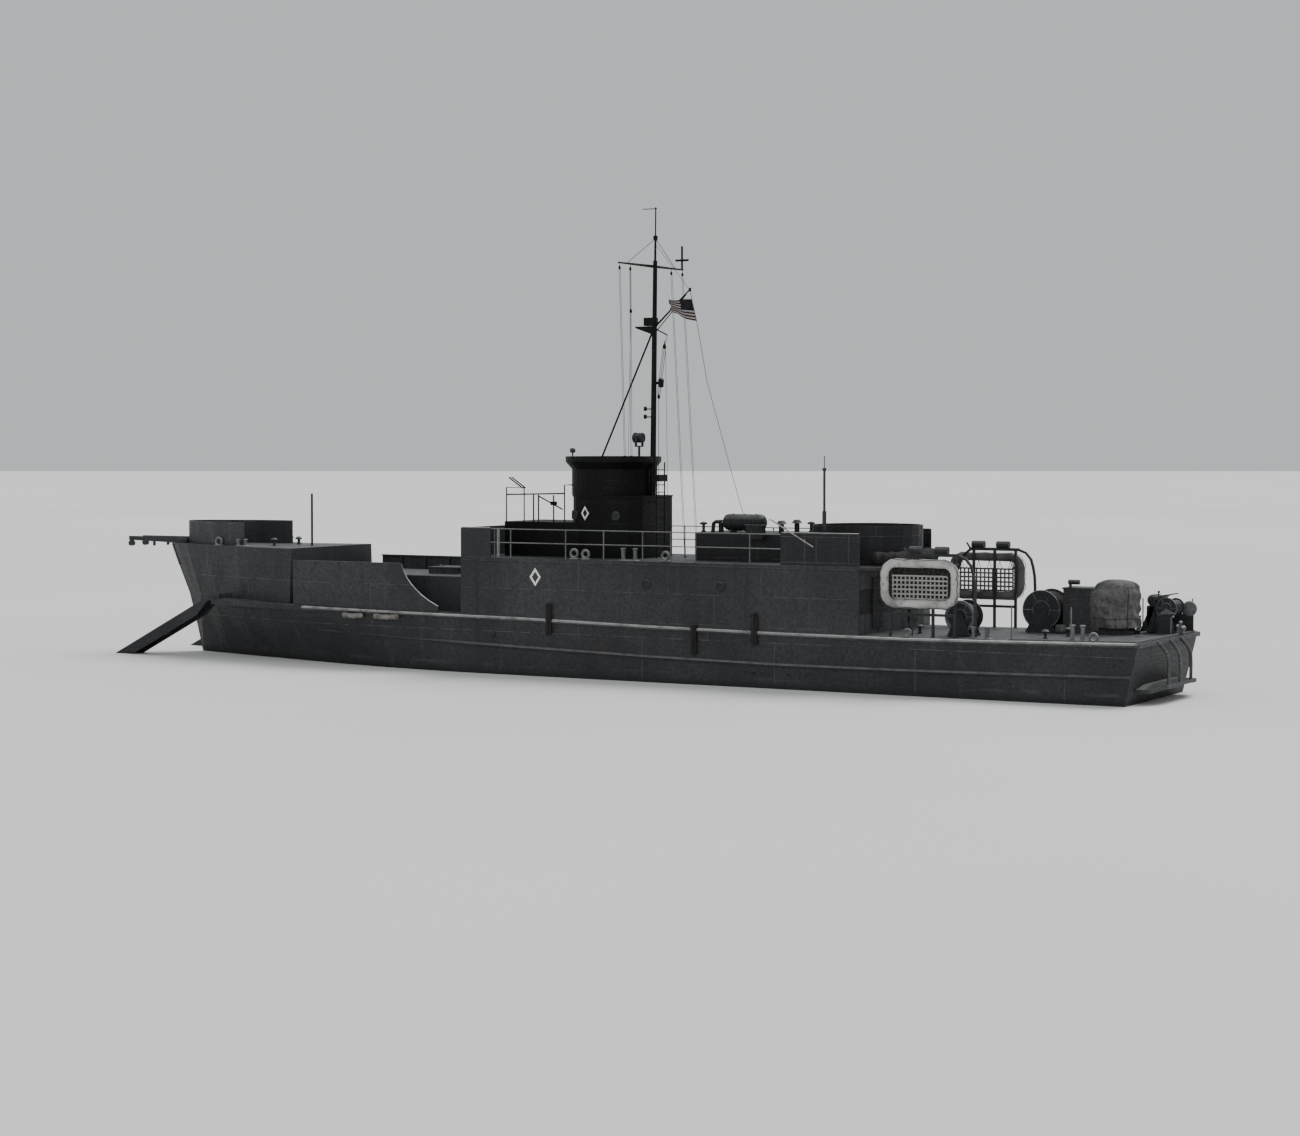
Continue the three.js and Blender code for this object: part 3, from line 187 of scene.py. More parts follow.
# %% [markdown]
# A piece joins many skins in one mesh. Doubled points are merged and the faces turned
# outwards, and only edges sharper than a set angle stay sharp. The object stays at the
# origin, with its place in its points, and rides on a body of the craft.


# %% From skins to a piece
def piece(name, parts, material, body="craft", sharp=35):
    """Joins (points, faces) pairs, in full-size metres, in one half-size mesh with its faces outwards."""
    starts = np.cumsum([0] + [len(points) for points, _ in parts[:-1]])
    points = np.concatenate([points for points, _ in parts]) * MODEL
    faces = [[int(start + i) for i in face] for start, (_, some) in zip(starts, parts) for face in some]
    mesh = bpy.data.meshes.new(name)
    mesh.from_pydata(points.tolist(), [], faces)
    shape = bmesh.new()
    shape.from_mesh(mesh)
    bmesh.ops.remove_doubles(shape, verts=shape.verts, dist=1e-5)
    bmesh.ops.recalc_face_normals(shape, faces=shape.faces)
    shape.to_mesh(mesh)
    shape.free()
    mesh.shade_smooth()
    mesh.set_sharp_from_angle(angle=math.radians(sharp))
    made = in_scene(name, mesh)
    mesh.materials.append(material)
    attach(made, body)
    print(name, len(mesh.polygons), "faces")
    return made


# %% [markdown]
# ## Paint
# Old naval paint is never one colour. It fades in patches, streaks where water runs off,
# chalks in fine grain, rusts from seams and rubs bright on edges. Each of those is one
# layer of noise on Object coordinates, so the pattern keeps its real size on every piece.


# %% A small kit for shader trees
class Shader:
    """One material and the nodes that feed its surface shader."""

    def __init__(self, name, metallic=0.0, specular=0.2):
        self.material = bpy.data.materials.new(name)
        self.material.use_nodes = True
        self.tree = self.material.node_tree
        self.surface = self.tree.nodes["Principled BSDF"]
        self.feed(self.surface.inputs["Metallic"], metallic)
        self.feed(self.surface.inputs["Specular IOR Level"], specular)
        self.place = self.add("TexCoord").outputs["Object"]

    def feed(self, socket, value):
        """Links another node's output to the socket, or sets it to a number, a colour or a vector."""
        if isinstance(value, bpy.types.NodeSocket):
            self.tree.links.new(value, socket)
        elif socket.type == "RGBA":
            socket.default_value = (*value, 1.0)
        else:
            socket.default_value = value

    def add(self, kind, **settings):
        """A node. A setting with a capital feeds the input of that name, and the others are properties."""
        made = self.tree.nodes.new("ShaderNode" + kind)
        for key, value in settings.items():
            if key[0].isupper():
                self.feed(made.inputs[key.replace("_", " ")], value)
            else:
                setattr(made, key, value)
        return made

    def stretched(self, *scale):
        """Object coordinates scaled on each axis."""
        return self.add("Mapping", Vector=self.place, Scale=scale).outputs["Vector"]

    def noise(self, scale, detail, rough=0.55, place=None):
        return self.add("TexNoise", Vector=place or self.place, Scale=scale, Detail=detail,
                        Roughness=rough).outputs["Fac"]

    def waves(self, direction, scale, distortion=0.0, place=None):
        return self.add("TexWave", wave_type="BANDS", bands_direction=direction, Vector=place or self.place,
                        Scale=scale, Distortion=distortion).outputs["Fac"]

    def cells(self, scale):
        """Distance to the edge of the nearest cell, which makes a net."""
        return self.add("TexVoronoi", feature="DISTANCE_TO_EDGE", Vector=self.place,
                        Scale=scale).outputs["Distance"]

    def band(self, value, low, high, out_low=0.0, out_high=1.0):
        """Value spread from low..high to out_low..out_high, held at both ends."""
        return self.add("MapRange", interpolation_type="SMOOTHSTEP", Value=value, From_Min=low, From_Max=high,
                        To_Min=out_low, To_Max=out_high).outputs["Result"]

    def maths(self, operation, *values):
        made = self.add("Math", operation=operation)
        for socket, value in zip(made.inputs, values):
            self.feed(socket, value)
        return made.outputs["Value"]

    def times(self, a, b):
        return self.maths("MULTIPLY", a, b)

    def mix(self, share, a, b):
        """Colour a, going to colour b as the share goes from 0 to 1."""
        made = self.add("Mix", data_type="RGBA")
        for index, value in ((0, share), (6, a), (7, b)):
            self.feed(made.inputs[index], value)
        return made.outputs[2]

    def layered(self, colour, *layers):
        """A colour with others laid over it in turn, each by its own share."""
        for share, over in layers:
            colour = self.mix(share, colour, over)
        return colour

    def axis(self, name, place=None):
        return self.add("SeparateXYZ", Vector=place or self.place).outputs[name]

    def edges(self, radius):
        """Near 1 along outer and inner edges, found where a rounded normal leaves the flat one."""
        dot = self.add("VectorMath", operation="DOT_PRODUCT")
        self.feed(dot.inputs[0], self.add("Bevel", samples=4, Radius=radius).outputs["Normal"])
        self.feed(dot.inputs[1], self.add("NewGeometry").outputs["Normal"])
        return self.band(dot.outputs["Value"], 0.97, 0.75)

    def finish(self, colour, rough, height=None, strength=0.3, distance=0.01):
        """Gives the surface its colour, roughness and relief, and hands over the material."""
        self.feed(self.surface.inputs["Base Color"], colour)
        self.feed(self.surface.inputs["Roughness"], rough)
        if height is not None:
            bump = self.add("Bump", Strength=strength, Distance=distance, Height=height)
            self.feed(self.surface.inputs["Normal"], bump.outputs["Normal"])
        return self.material


def two_tone(name, first, second, grain, limits, rough, relief, strength, distance, stretch=None, **base):
    """A colour that turns to a second one in blotches. Without its own relief, the blotches are the relief."""
    kind = Shader(name, **base)
    blotch = kind.noise(*grain, place=kind.stretched(*stretch) if stretch else None)
    tone = kind.mix(kind.band(blotch, *limits), first, second)
    rough = kind.band(blotch, 0.3, 0.7, *rough) if isinstance(rough, tuple) else rough
    return kind.finish(tone, rough, kind.noise(*relief) if relief else blotch, strength, distance)


def netting(name, scale, limits, cord, gap, faded, strength, distance, specular=0.2):
    """Cords along the borders of cells, with dark gaps. Part of it is faded to a tone between the two."""
    kind = Shader(name, specular=specular)
    share = kind.band(kind.cells(scale), *limits)
    worn = kind.band(kind.noise(1.5, 6), 0.4, 0.7, 0.0, faded)
    return kind.finish(kind.layered(cord, (share, gap), (worn, (0.03, 0.03, 0.029))), 0.9, share, strength, distance)


# %% [markdown]
# Painted plating needs its plate seams as well. A brick pattern gives the butts and
# strakes: its mortar is the weld. It lies in a side view for plating that stands and in
# plan for plating that lies flat. What faces up is lightened, partly by salt bleach and partly
# as a painted highlight, less on flat deck. A craft that floats also has a wet band, a line of scum and red below.

# %% Painted steel
RUST = (0.052, 0.033, 0.023)
CHALK = (0.22, 0.225, 0.23)
RED_LEAD = (0.075, 0.028, 0.023)


def painted_steel(name, colour, lie="side", plate=(3.0, 0.9), seam=0.008, worn=CHALK, wear=0.4, edge=0.01,
                  bleach_and_highlight=0.35, streaks=0.4, rust=0.4, waterline=False, gloss=0.3, highlight_stops_abaft=None):
    paint = Shader(name, specular=gloss)
    band, noise, times = paint.band, paint.noise, paint.times

    def shade(times_bright):
        return tuple(c * times_bright for c in colour)

    patch, grain = noise(0.35, 5), noise(26.0, 3)
    run = noise(1.0, 6, place=paint.stretched(3.0, 3.0, 0.18))
    rusty = noise(1.6, 9, 0.65, paint.stretched(1.0, 1.0, 0.5))
    x, y, z = (paint.axis(a) for a in "XYZ")
    flat = paint.add("CombineXYZ", X=x, Y=z if lie == "side" else y).outputs["Vector"]
    weld = paint.add("TexBrick", offset=0.5, squash=1.0, Vector=flat, Scale=1.0, Mortar_Size=seam,
                     Mortar_Smooth=0.6, Brick_Width=plate[0], Row_Height=plate[1]).outputs["Fac"]
    # Upward faces get salt bleach and a painted highlight, less on flat deck.
    facing = paint.axis("Z", paint.add("NewGeometry").outputs["Normal"])
    ledge = times(band(facing, 0.25, 0.6), band(facing, 0.93, 0.99, 1.0, 0.3))
    salt_and_highlight = times(ledge, band(noise(3.5, 7), 0.3, 0.6, 0.45, 1.0))
    # Abaft the given x the painted highlight is left off: the tops there lie in shade.
    if highlight_stops_abaft is not None:
        salt_and_highlight = times(salt_and_highlight, band(x, highlight_stops_abaft, highlight_stops_abaft + 0.15))
    layers = [
        (band(patch, 0.36, 0.68, 0.0, 0.7), shade(2.2)),  # faded patches
        (band(run, 0.54, 0.8, 0.0, streaks), shade(3.5)),  # pale runs
        (band(run, 0.42, 0.22, 0.0, 0.7), shade(0.4)),  # dark runs
        (band(noise(17.0, 9, 0.78), 0.42, 0.6, 0.0, 0.65), shade(0.5)),  # mottling
        (times(weld, band(run, 0.4, 0.6, 0.02, 0.22)), worn),
        (band(rusty, 0.63, 0.76, 0.0, rust), RUST),
        (band(noise(15.0, 6, 0.7), 0.665, 0.7, 0.0, 0.55), worn),  # flakes
        # salt bleach and painted highlight on what faces up
        (times(salt_and_highlight, bleach_and_highlight), worn)]
    if waterline:
        line = times(band(z, 0.14, 0.19), band(z, 0.27, 0.2))
        scum = times(line, band(noise(5.0, 9, place=paint.stretched(0.3, 0.3, 2.0)), 0.5, 0.66))
        layers += [(times(band(z, 0.01, 0.16, 1.0, 0.0), 0.75), shade(0.35)), (times(scum, 0.12), CHALK),
                   (band(z, -0.03, 0.0, 1.0, 0.0), RED_LEAD)]
    rubbed = times(paint.edges(edge), band(noise(4.0, 6), 0.4, 0.62, 0.1, 1.0))
    tone = paint.layered(colour, *layers, (times(rubbed, wear), worn))
    height = paint.maths("ADD", paint.maths("ADD", times(weld, 0.6), times(grain, 0.35)), times(patch, 1.1))
    return paint.finish(tone, band(grain, 0.3, 0.7, 0.45, 0.72), height, 0.35, 0.008)


hull_paint = painted_steel(
    "hull_paint", (0.0195, 0.0205, 0.0225), worn=(0.3, 0.305, 0.31), bleach_and_highlight=0.75, rust=0.45, waterline=True)
house_paint = painted_steel("house_paint", (0.024, 0.025, 0.0275), plate=(2.1, 0.6), rust=0.3)
# A near-black copy of the paint for the tower, pilot house and mast: painted shade.
tower_shaded_paint = painted_steel(
    "tower_shaded_paint", (0.0026, 0.0028, 0.0032), plate=(1.6, 0.45), wear=0.2, edge=0.004, worn=(0.06, 0.061, 0.063),
    streaks=0.25, rust=0.05, bleach_and_highlight=0.15, gloss=0.15)
# A darker copy of the paint for the shields, after tub, casing and after bulkhead: painted shade.
shield_shaded_paint = painted_steel(
    "shield_shaded_paint", (0.01, 0.0105, 0.0118), plate=(1.8, 0.5), streaks=0.35, rust=0.2, bleach_and_highlight=0.3)
deck_paint = painted_steel("deck_paint", (0.026, 0.027, 0.029), lie="plan", rust=0.4)
# The guard's pale worn tone also colours its painted highlight on upward faces.
guard_paint = painted_steel(
    "guard_paint", (0.04, 0.041, 0.043), seam=0.004, worn=(0.55, 0.55, 0.54), wear=0.6, bleach_and_highlight=0.95,
    streaks=0.7, rust=0.4, highlight_stops_abaft=-11.95)
rail_paint = painted_steel(
    "rail_paint", (0.085, 0.087, 0.09), seam=0.002, worn=(0.4, 0.4, 0.39), wear=0.3, edge=0.003, bleach_and_highlight=0.6,
    rust=0.4)
gear_paint = painted_steel(
    "gear_paint", (0.018, 0.019, 0.021), plate=(9.0, 9.0), seam=0.001, wear=0.45, worn=(0.18, 0.18, 0.18),
    edge=0.005, streaks=0.3, rust=0.5)
pale_paint = painted_steel(
    "pale_paint", (0.17, 0.172, 0.175), plate=(9.0, 9.0), seam=0.001, wear=0.5, worn=(0.3, 0.3, 0.29),
    edge=0.004, streaks=0.2, rust=0.4)

# %% [markdown]
# The painted nodes take their finish from the record's slots. The tower, the pilot house,
# the shields, the casing and the after bulkhead are seen darker than the sides, so they get
# darker copies of the same paint: painted shade.

# %% Paint on the craft's own plates
PAINT_OF_SLOT = {"hull": hull_paint, "deck": deck_paint, "house": house_paint, "guard": guard_paint,
                 "steel": gear_paint}
PAINT_OF_NODE = {
    **dict.fromkeys(("tower", "pilot_house", "pilot_house_door", "pilot_house_roof", "chart_house", "mast",
                     "tower_ladder"), tower_shaded_paint),
    **dict.fromkeys(("side_shield_port", "side_shield_starboard", "after_tub", "engine_casing", "house_aft",
                     "aft_door_port", "aft_door_starboard"), shield_shaded_paint),
    **dict.fromkeys(("boat_deck_rail_port", "boat_deck_rail_starboard", "stern_rail"), rail_paint)}
slot_of = {row["node"]: row["material_slot"] for row in frame["record"]["subparts"]}


def dress(name, material):
    mesh = nodes[name].data
    mesh.materials.clear()
    mesh.materials.append(material)


for name, slot in slot_of.items():
    if slot in PAINT_OF_SLOT:
        dress(name, PAINT_OF_NODE.get(name, PAINT_OF_SLOT[slot]))
print(len(slot_of), "nodes have a slot")

# %% [markdown]
# Bronze for the screws, and the rafts' float: balsa wrapped in canvas under thick pale
# paint, rubbed and stained where it lies on its rack.

# %% Bronze and raft
screw_bronze = two_tone(
    "cast_bronze", (0.36, 0.24, 0.1), (0.1, 0.17, 0.11), (5.0, 6), (0.35, 0.65), (0.35, 0.6), (40, 4), 0.2,
    0.003, metallic=0.85, specular=0.5)
balsa = Shader("raft_float", specular=0.3)
raft_tone = balsa.layered(
    (0.43, 0.43, 0.415), (balsa.band(balsa.noise(2.2, 8), 0.42, 0.7), (0.19, 0.189, 0.181)),
    (balsa.band(balsa.noise(6.5, 9, 0.7), 0.5, 0.66, 0.0, 0.75), (0.12, 0.119, 0.114)),
    (balsa.times(balsa.edges(0.02), 0.35), (0.12, 0.11, 0.1)))
raft_white = balsa.finish(raft_tone, 0.7, balsa.noise(9.0, 6), 0.5, 0.01)
for side in ("port", "starboard"):
    dress(f"propeller_{side}", screw_bronze)
    dress(f"raft_{side}", raft_white)

# %% [markdown]
# ## Life rafts
# A float is an oval ring of balsa in a canvas skin, with a slatted floor that hangs in it
# by a net. The ring could be a bevelled curve, but a section carried along a rounded
# rectangle can also be lumpy, where the lashings pull the skin in. The slats are one comb
# of flat bars each way. The far raft's inner side lies in shade, so its float and slats get
# a darker, blotched copy of the float's paint: painted shade.

# %% Life rafts
RAFT_X, RAFT_Y, RAFT_Z = -15.12, 3.33, 4.29
RAFT_HALF, RAFT_TALL, TUBE = 1.63, 0.95, 0.172
FLOOR_LOW, FLOOR_HIGH, FLOOR_END = -0.6, 0.33, 1.16


def oval(inset, bend):
    """The raft's rounded rectangle, drawn in: quarter circles at the corners, points along the straights."""
    turn = np.linspace(0, np.pi / 2, 12)
    u, w = RAFT_HALF - inset - bend, RAFT_TALL - inset - bend
    corner = [np.stack([u * a + bend * np.cos(turn + t), w * b + bend * np.sin(turn + t)], 1)
              for a, b, t in ((1, 1, 0), (-1, 1, np.pi / 2), (-1, -1, np.pi), (1, -1, 1.5 * np.pi))]
    straight = np.linspace(0, 1, 10)[1:-1, None]
    loop = np.concatenate([np.concatenate([c, c[-1] + (n[0] - c[-1]) * straight])
                           for c, n in zip(corner, corner[1:] + corner[:1])])
    return np.stack([loop[:, 0], np.zeros(len(loop)), loop[:, 1]], 1)


def raft_parts(side):
    centre, middle = np.array([RAFT_X, side * RAFT_Y, RAFT_Z]), oval(TUBE, 0.46)
    along = np.arange(len(middle))
    lumpy = TUBE * (1 - 0.05 * np.abs(np.sin(along * np.pi / 5)) ** 6 + 0.015 * np.sin(along * 1.7))
    plane = side * -0.02
    bars = [slab(0, plane, FLOOR_END, 0.02, z - 0.034, z + 0.034, 0.006)
            for z in np.linspace(FLOOR_LOW + 0.03, FLOOR_HIGH - 0.03, 6)]
    bars += [slab(x, plane - 0.025, 0.03, 0.02, FLOOR_LOW, FLOOR_HIGH, 0.006)
             for x in np.linspace(-FLOOR_END + 0.03, FLOOR_END - 0.03, 14)]
    ring = pipe(centre + middle, lumpy, 18, closed=True)
    return ring, [(points + centre, faces) for points, faces in bars], centre, middle


rope = Shader("manila_rope")
lay = rope.waves("DIAGONAL", 30.0, 2.0)
rope_tone = rope.layered((0.27, 0.262, 0.24), (rope.band(rope.noise(6, 6), 0.3, 0.75), (0.11, 0.106, 0.097)),
                         (rope.band(lay, 0.0, 0.3, 0.5, 0.0), (0.05, 0.045, 0.04)))
rope_fibre = rope.finish(rope_tone, 0.85, lay, 0.6, 0.004)
dark_rope = two_tone(
    "dark_rope", (0.022, 0.02, 0.018), (0.055, 0.05, 0.044), (5, 6), (0.35, 0.7), 0.8, (60, 3), 0.4, 0.002)
scrubbed_slats = two_tone(
    "scrubbed_slats", (0.33, 0.327, 0.315), (0.17, 0.169, 0.163), (3.0, 7, 0.6), (0.3, 0.7), 0.75, None, 0.4,
    0.004, (0.6, 4, 12), specular=0.25)
# The far raft's float and slats: a darker copy of the float paint, painted shade.
raft_shaded = two_tone(
    "raft_float_shaded", (0.105, 0.105, 0.102), (0.026, 0.026, 0.026), (1.8, 8), (0.35, 0.7), 0.75, (9.0, 6),
    0.5, 0.01, specular=0.3)
net_bag = netting(
    "net_bag", 22.0, (0.03, 0.12), (0.06, 0.056, 0.05), (0.01, 0.01, 0.01), 0.0, 0.8, 0.008, specular=0.15)

for side, name, skin_finish, slat_finish in ((1, "port", raft_white, scrubbed_slats),
                                             (-1, "starboard", raft_shaded, raft_shaded)):
    ring, bars, centre, middle = raft_parts(side)
    afloat = piece(f"raft_float_{name}", [ring], skin_finish, sharp=60)
    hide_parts(f"raft_{name}")
    piece(f"raft_floor_{name}", bars, slat_finish)
    # Net between the floor and the ring: V-shaped lines all round.
    low, high = (0.02 - FLOOR_END, 0, 0.01 + FLOOR_LOW), (FLOOR_END - 0.02, 0, FLOOR_HIGH - 0.01)
    net = [pipe([centre + point, centre + np.clip(point + lean, low, high)], 0.011, 4)
           for point in oval(2 * TUBE - 0.02, 0.28)[::2] for lean in (-0.09, 0.09)]
    piece(f"raft_net_{name}", net, dark_rope)
    # A tarred net bag closes the near raft's opening behind the slats.
    if side > 0:
        shares = (1.0, 0.66, 0.33, 0.02)
        section = [*((share, -0.075) for share in shares), *((share, -0.095) for share in shares[::-1])]
        rings = [[centre + point * share + [0, depth, 0] for share, depth in section]
                 for point in oval(2 * TUBE - 0.05, 0.3)]
        piece("raft_bag_port", [skin(rings, closed=True)], net_bag)
    # Lashings round the ring, and the becket line that loops outside it.
    way = np.roll(middle, -1, 0) - np.roll(middle, 1, 0)
    lashings = [ring_of(centre + middle[i], TUBE * 1.02, 0.014, way[i], 18, 5) for i in range(0, len(middle), 5)]
    outer = oval(-0.01, 0.56)
    sway = 0.5 + 0.5 * np.cos(np.arange(len(outer)) * 2 * np.pi / 5)
    becket = centre + outer - unit(outer) * (0.012 + 0.05 * (1 - sway))[:, None] + [0, side * 0.14, 0]
    lashings.append(pipe(becket, 0.013, 5, True))
    piece(f"raft_lashings_{name}", lashings, dark_rope)

# %% [markdown]
# ## Engine cover
# A canvas cover is thrown over the winch engine and tied down. It could be simulated, but
# the photo fixes where its folds run, so it is a surface of angle and height: a rounded
# rectangle that swells at the shoulder, with folds that deepen towards the hem, and slanting
# creases where a lashing pulls it in.

# %% Engine cover
COVER_X, COVER_Y, COVER_DECK = -21.45, -1.0, 2.335
COVER_AROUND, COVER_ROWS, SHOULDER = 168, 72, 0.72
SIDE_TALL, HEM = 1.53, 0.26
PULL_ANGLE, AFTER_PULL_ANGLE = 2.42, 5.05


def cover_surface(lift=0.0):
    """Radius along each ray of a rounded rectangle, times a profile over height, plus sine folds."""
    turn = turns(COVER_AROUND)[None, :]
    s = np.linspace(0, 1, COVER_ROWS)[:, None]
    rise, over = np.minimum(s / SHOULDER, 1.0), np.clip((s - SHOULDER) / (1 - SHOULDER), 0, 1)
    level = np.interp(rise * 1.74 + 0.26, [0.26, 0.9, 1.5, 2.0], [0.0, 0.6, 1.1, SIDE_TALL]) / SIDE_TALL
    steps = [0, 0.35, 0.62, 0.85, 1.0]
    hx = np.interp(level, steps, [0.85, 0.8, 0.83, 0.85, 0.8])
    hy = np.interp(level, steps, [0.62, 0.58, 0.61, 0.63, 0.57])
    shrink = np.cos(over * np.pi / 2) ** 0.8
    power = 4.2
    c, w = np.cos(turn), np.sin(turn)
    ray = (np.abs(c / (hx * shrink + 1e-6)) ** power + np.abs(w / (hy * shrink + 1e-6)) ** power) ** (-1 / power)
    folds = (0.03 * np.sin(9 * turn + 1.3 + 2.0 * level) + 0.02 * np.sin(17 * turn + 5 * level)
             + 0.011 * np.sin(31 * turn - 9 * level + 0.6)) * ((1 - level) * 0.9 + 0.15)
    off_pull = np.angle(np.exp(1j * (turn - PULL_ANGLE - 0.12 * np.sin(5 * level))))
    pull = np.exp(-(off_pull / 0.085) ** 2)
    slant = 0.028 * np.sin(5 * turn + 16 * level + 0.8) * np.exp(-((level - 0.33) / 0.28) ** 2)
    sag = 0.016 * np.sin(3 * turn + 21 * level)
    ray = ray + (folds + slant + sag - 0.06 * pull) * shrink + lift
    z = COVER_DECK + HEM + level * SIDE_TALL + 0.3 * np.sin(over * np.pi / 2)
    z = z + 0.02 * np.sin(3 * turn) * (1 - level) + 0.03 * np.sin(4 * turn + 2) * over * shrink
    return np.stack([COVER_X + ray * c, COVER_Y + ray * w, z], -1)


def thin_sheet(rings, thickness):
    """Two skins a thickness apart, joined round the hem. The crown closes at a middle point."""
    n, m, _ = rings.shape
    out = np.cross(np.roll(rings, -1, 1) - np.roll(rings, 1, 1), np.gradient(rings, axis=0))
    out /= np.linalg.norm(out, axis=-1, keepdims=True) + 1e-9
    quads, base = grid_quads(n, m), n * m
    k = np.arange(m)
    hem = np.stack([(k + 1) % m, k, base + k, base + (k + 1) % m], -1)
    last = (n - 1) * m + k
    faces = [*quads.tolist(), *(quads[:, ::-1] + base).tolist(), *hem.tolist(), last.tolist(),
             (last[::-1] + base).tolist()]
    return np.concatenate([rings.reshape(-1, 3), (rings - out * thickness).reshape(-1, 3)]), faces


canvas = Shader("cotton_canvas")
weave = canvas.times(canvas.waves("Z", 60.0, 0.6), canvas.waves("X", 60.0, 0.6))
canvas_tone = canvas.layered(
    (0.15, 0.15, 0.149), (canvas.band(canvas.noise(2.2, 7), 0.38, 0.68), (0.058, 0.058, 0.0575)),
    (canvas.band(canvas.noise(13.0, 9, 0.7), 0.5, 0.62, 0.0, 0.6), (0.034, 0.034, 0.034)),
    (canvas.band(canvas.noise(11.0, 8), 0.6, 0.74, 0.0, 0.5), (0.24, 0.24, 0.238)))
creases = canvas.noise(3.2, 7, 0.6, canvas.stretched(1.6, 1.6, 0.7))
cotton_canvas = canvas.finish(canvas_tone, 0.85, canvas.maths("ADD", canvas.times(weave, 0.1), creases), 0.8, 0.02)

cover = piece("engine_cover", [thin_sheet(cover_surface(), 0.008)], cotton_canvas, sharp=80)
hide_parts("covered_engine")

# The engine's bed shows dark below the hem. The lashing runs over the cover in its own groove.
bed = [slab(COVER_X, COVER_Y + y, half_x, half_y, COVER_DECK + low, COVER_DECK + high, c)
       for y, half_x, half_y, low, high, c in (
           (0, 0.6, 0.38, 0.005, 0.75, 0.03), (-0.36, 0.8, 0.06, 0.002, 0.14, 0.01),
           (0.36, 0.8, 0.06, 0.002, 0.14, 0.01), (0, 0.4, 0.28, 0.7, 1.7, 0.05))]
piece("engine_bed", bed, gear_paint)
wrapped = cover_surface(0.012)
waist = np.argmin(np.abs(wrapped[:, :, 2].mean(axis=1) - COVER_DECK - 0.62))
upright = [wrapped[:54, round(angle / (2 * np.pi) * COVER_AROUND)] for angle in (PULL_ANGLE, AFTER_PULL_ANGLE)]
piece("cover_lashing", [pipe(wrapped[waist], 0.014, 6, True)] + [pipe(row, 0.014, 6) for row in upright],
      dark_rope)

# %% [markdown]
# ## Ensign
# The ensign flies forward from its halyard: the wind comes from aft. A flag in wind is a
# wave that grows along the fly, so each point is the flat cloth's point moved sideways by
# a sine and drawn in a little. Stripes and the plain dark canton come from the cloth's own
# UV map, so they bend with it.

# %% Ensign
HOIST, FLY = 0.9, 1.34
FLY_POINTS, HOIST_POINTS = 72, 30


def ensign_surface():
    """u runs along the fly and v down the hoist. The wave's height grows with u, its phase leans with v."""
    u = np.linspace(0, 1, FLY_POINTS)[:, None]
    v = np.linspace(0, 1, HOIST_POINTS)[None, :]
    z_hoist = 15.58 - HOIST * v
    x_hoist = -3.3 - 0.25 * (15.94 - z_hoist) + 0.016
    wave = 0.085 * np.minimum(1, u / 0.12) + 0.075 * u * np.sin(2 * np.pi * (1.9 * u - 0.75 * v) + 0.5)
    curl = np.maximum(0, u - 0.72) / 0.28
    x = x_hoist + FLY * (u - 0.08 * u * u) - 0.1 * curl ** 2 + 0.03 * v * np.sin(6 * u)
    z = z_hoist + 0.02 * u + (0.5 * v - 0.06) * u ** 1.3 + 0.035 * u * np.sin(9 * u + 2.4 * v)
    gathers = 0.07 * u ** 1.3 * np.sin(2 * np.pi * (2.2 * v + 0.3 * u) + 0.6)
    points = np.stack([x, wave + gathers + 0.06 * curl ** 2 * np.cos(5 * v), z + 0.16 * curl ** 2 * (1 - v)], -1)
    return points, np.stack([np.broadcast_to(u, x.shape), np.broadcast_to(1 - v, x.shape)], -1)


bunting = Shader("wool_bunting", specular=0.15)
cloth_map = bunting.add("UVMap", uv_map="cloth").outputs["UV"]
across, rise = bunting.axis("X", cloth_map), bunting.axis("Y", cloth_map)
striped = bunting.maths("GREATER_THAN", bunting.maths("FRACT", bunting.times(rise, 6.5)), 0.5)
in_canton = bunting.times(bunting.maths("LESS_THAN", across, 0.42), bunting.maths("GREATER_THAN", rise, 6 / 13))
sooty = bunting.band(bunting.noise(3.0, 7), 0.4, 0.7, 0.0, 0.35)
flag_tone = bunting.layered((0.028, 0.005, 0.006), (striped, (0.3, 0.297, 0.285)),
                            (in_canton, (0.004, 0.005, 0.012)), (sooty, (0.05, 0.045, 0.04)))
wool_bunting = bunting.finish(flag_tone, 0.9, bunting.waves("Y", 40.0, place=cloth_map), 0.2, 0.002)

cloth, shares = ensign_surface()
face_way = unit(np.cross(np.gradient(cloth, axis=0), np.gradient(cloth, axis=1)))
quads = grid_quads(FLY_POINTS, HOIST_POINTS, columns_close=False)
index = np.arange(FLY_POINTS * HOIST_POINTS).reshape(FLY_POINTS, HOIST_POINTS)
rim = np.concatenate([index[:, 0], index[-1, 1:], index[-2::-1, -1], index[0, -2:0:-1]])
rim_faces = np.stack([rim, np.roll(rim, -1), np.roll(rim, -1) + index.size, rim + index.size], -1)
both = np.concatenate([(cloth + face_way * out).reshape(-1, 3) for out in (0.002, -0.002)])
faces = [*quads[:, ::-1].tolist(), *(quads + index.size).tolist(), *rim_faces.tolist()]
flag = piece("ensign_cloth", [(both, faces)], wool_bunting, sharp=180)
corner_point = np.empty(len(flag.data.loops), np.int32)
flag.data.loops.foreach_get("vertex_index", corner_point)
uv_of_point = np.tile(shares.reshape(-1, 2), (2, 1))[corner_point].astype(np.float32)
flag.data.uv_layers.new(name="cloth").data.foreach_set("uv", uv_of_point.ravel())
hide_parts("ensign")

# %% [markdown]
# ## Rigging
# Halyards, stays and the ensign's downhaul are thin straight lines under tension, so each
# is a slender pipe between two points, with a block at its head. They are part of the
# mast's standing gear and always taut. Lines of one kind share a mesh.


# %% Rigging
def mast_x(z):
    """The mast rakes aft by 130 mm between its foot and its head."""
    return -1.53 - 0.13 * (z - 7.45) / 10.75


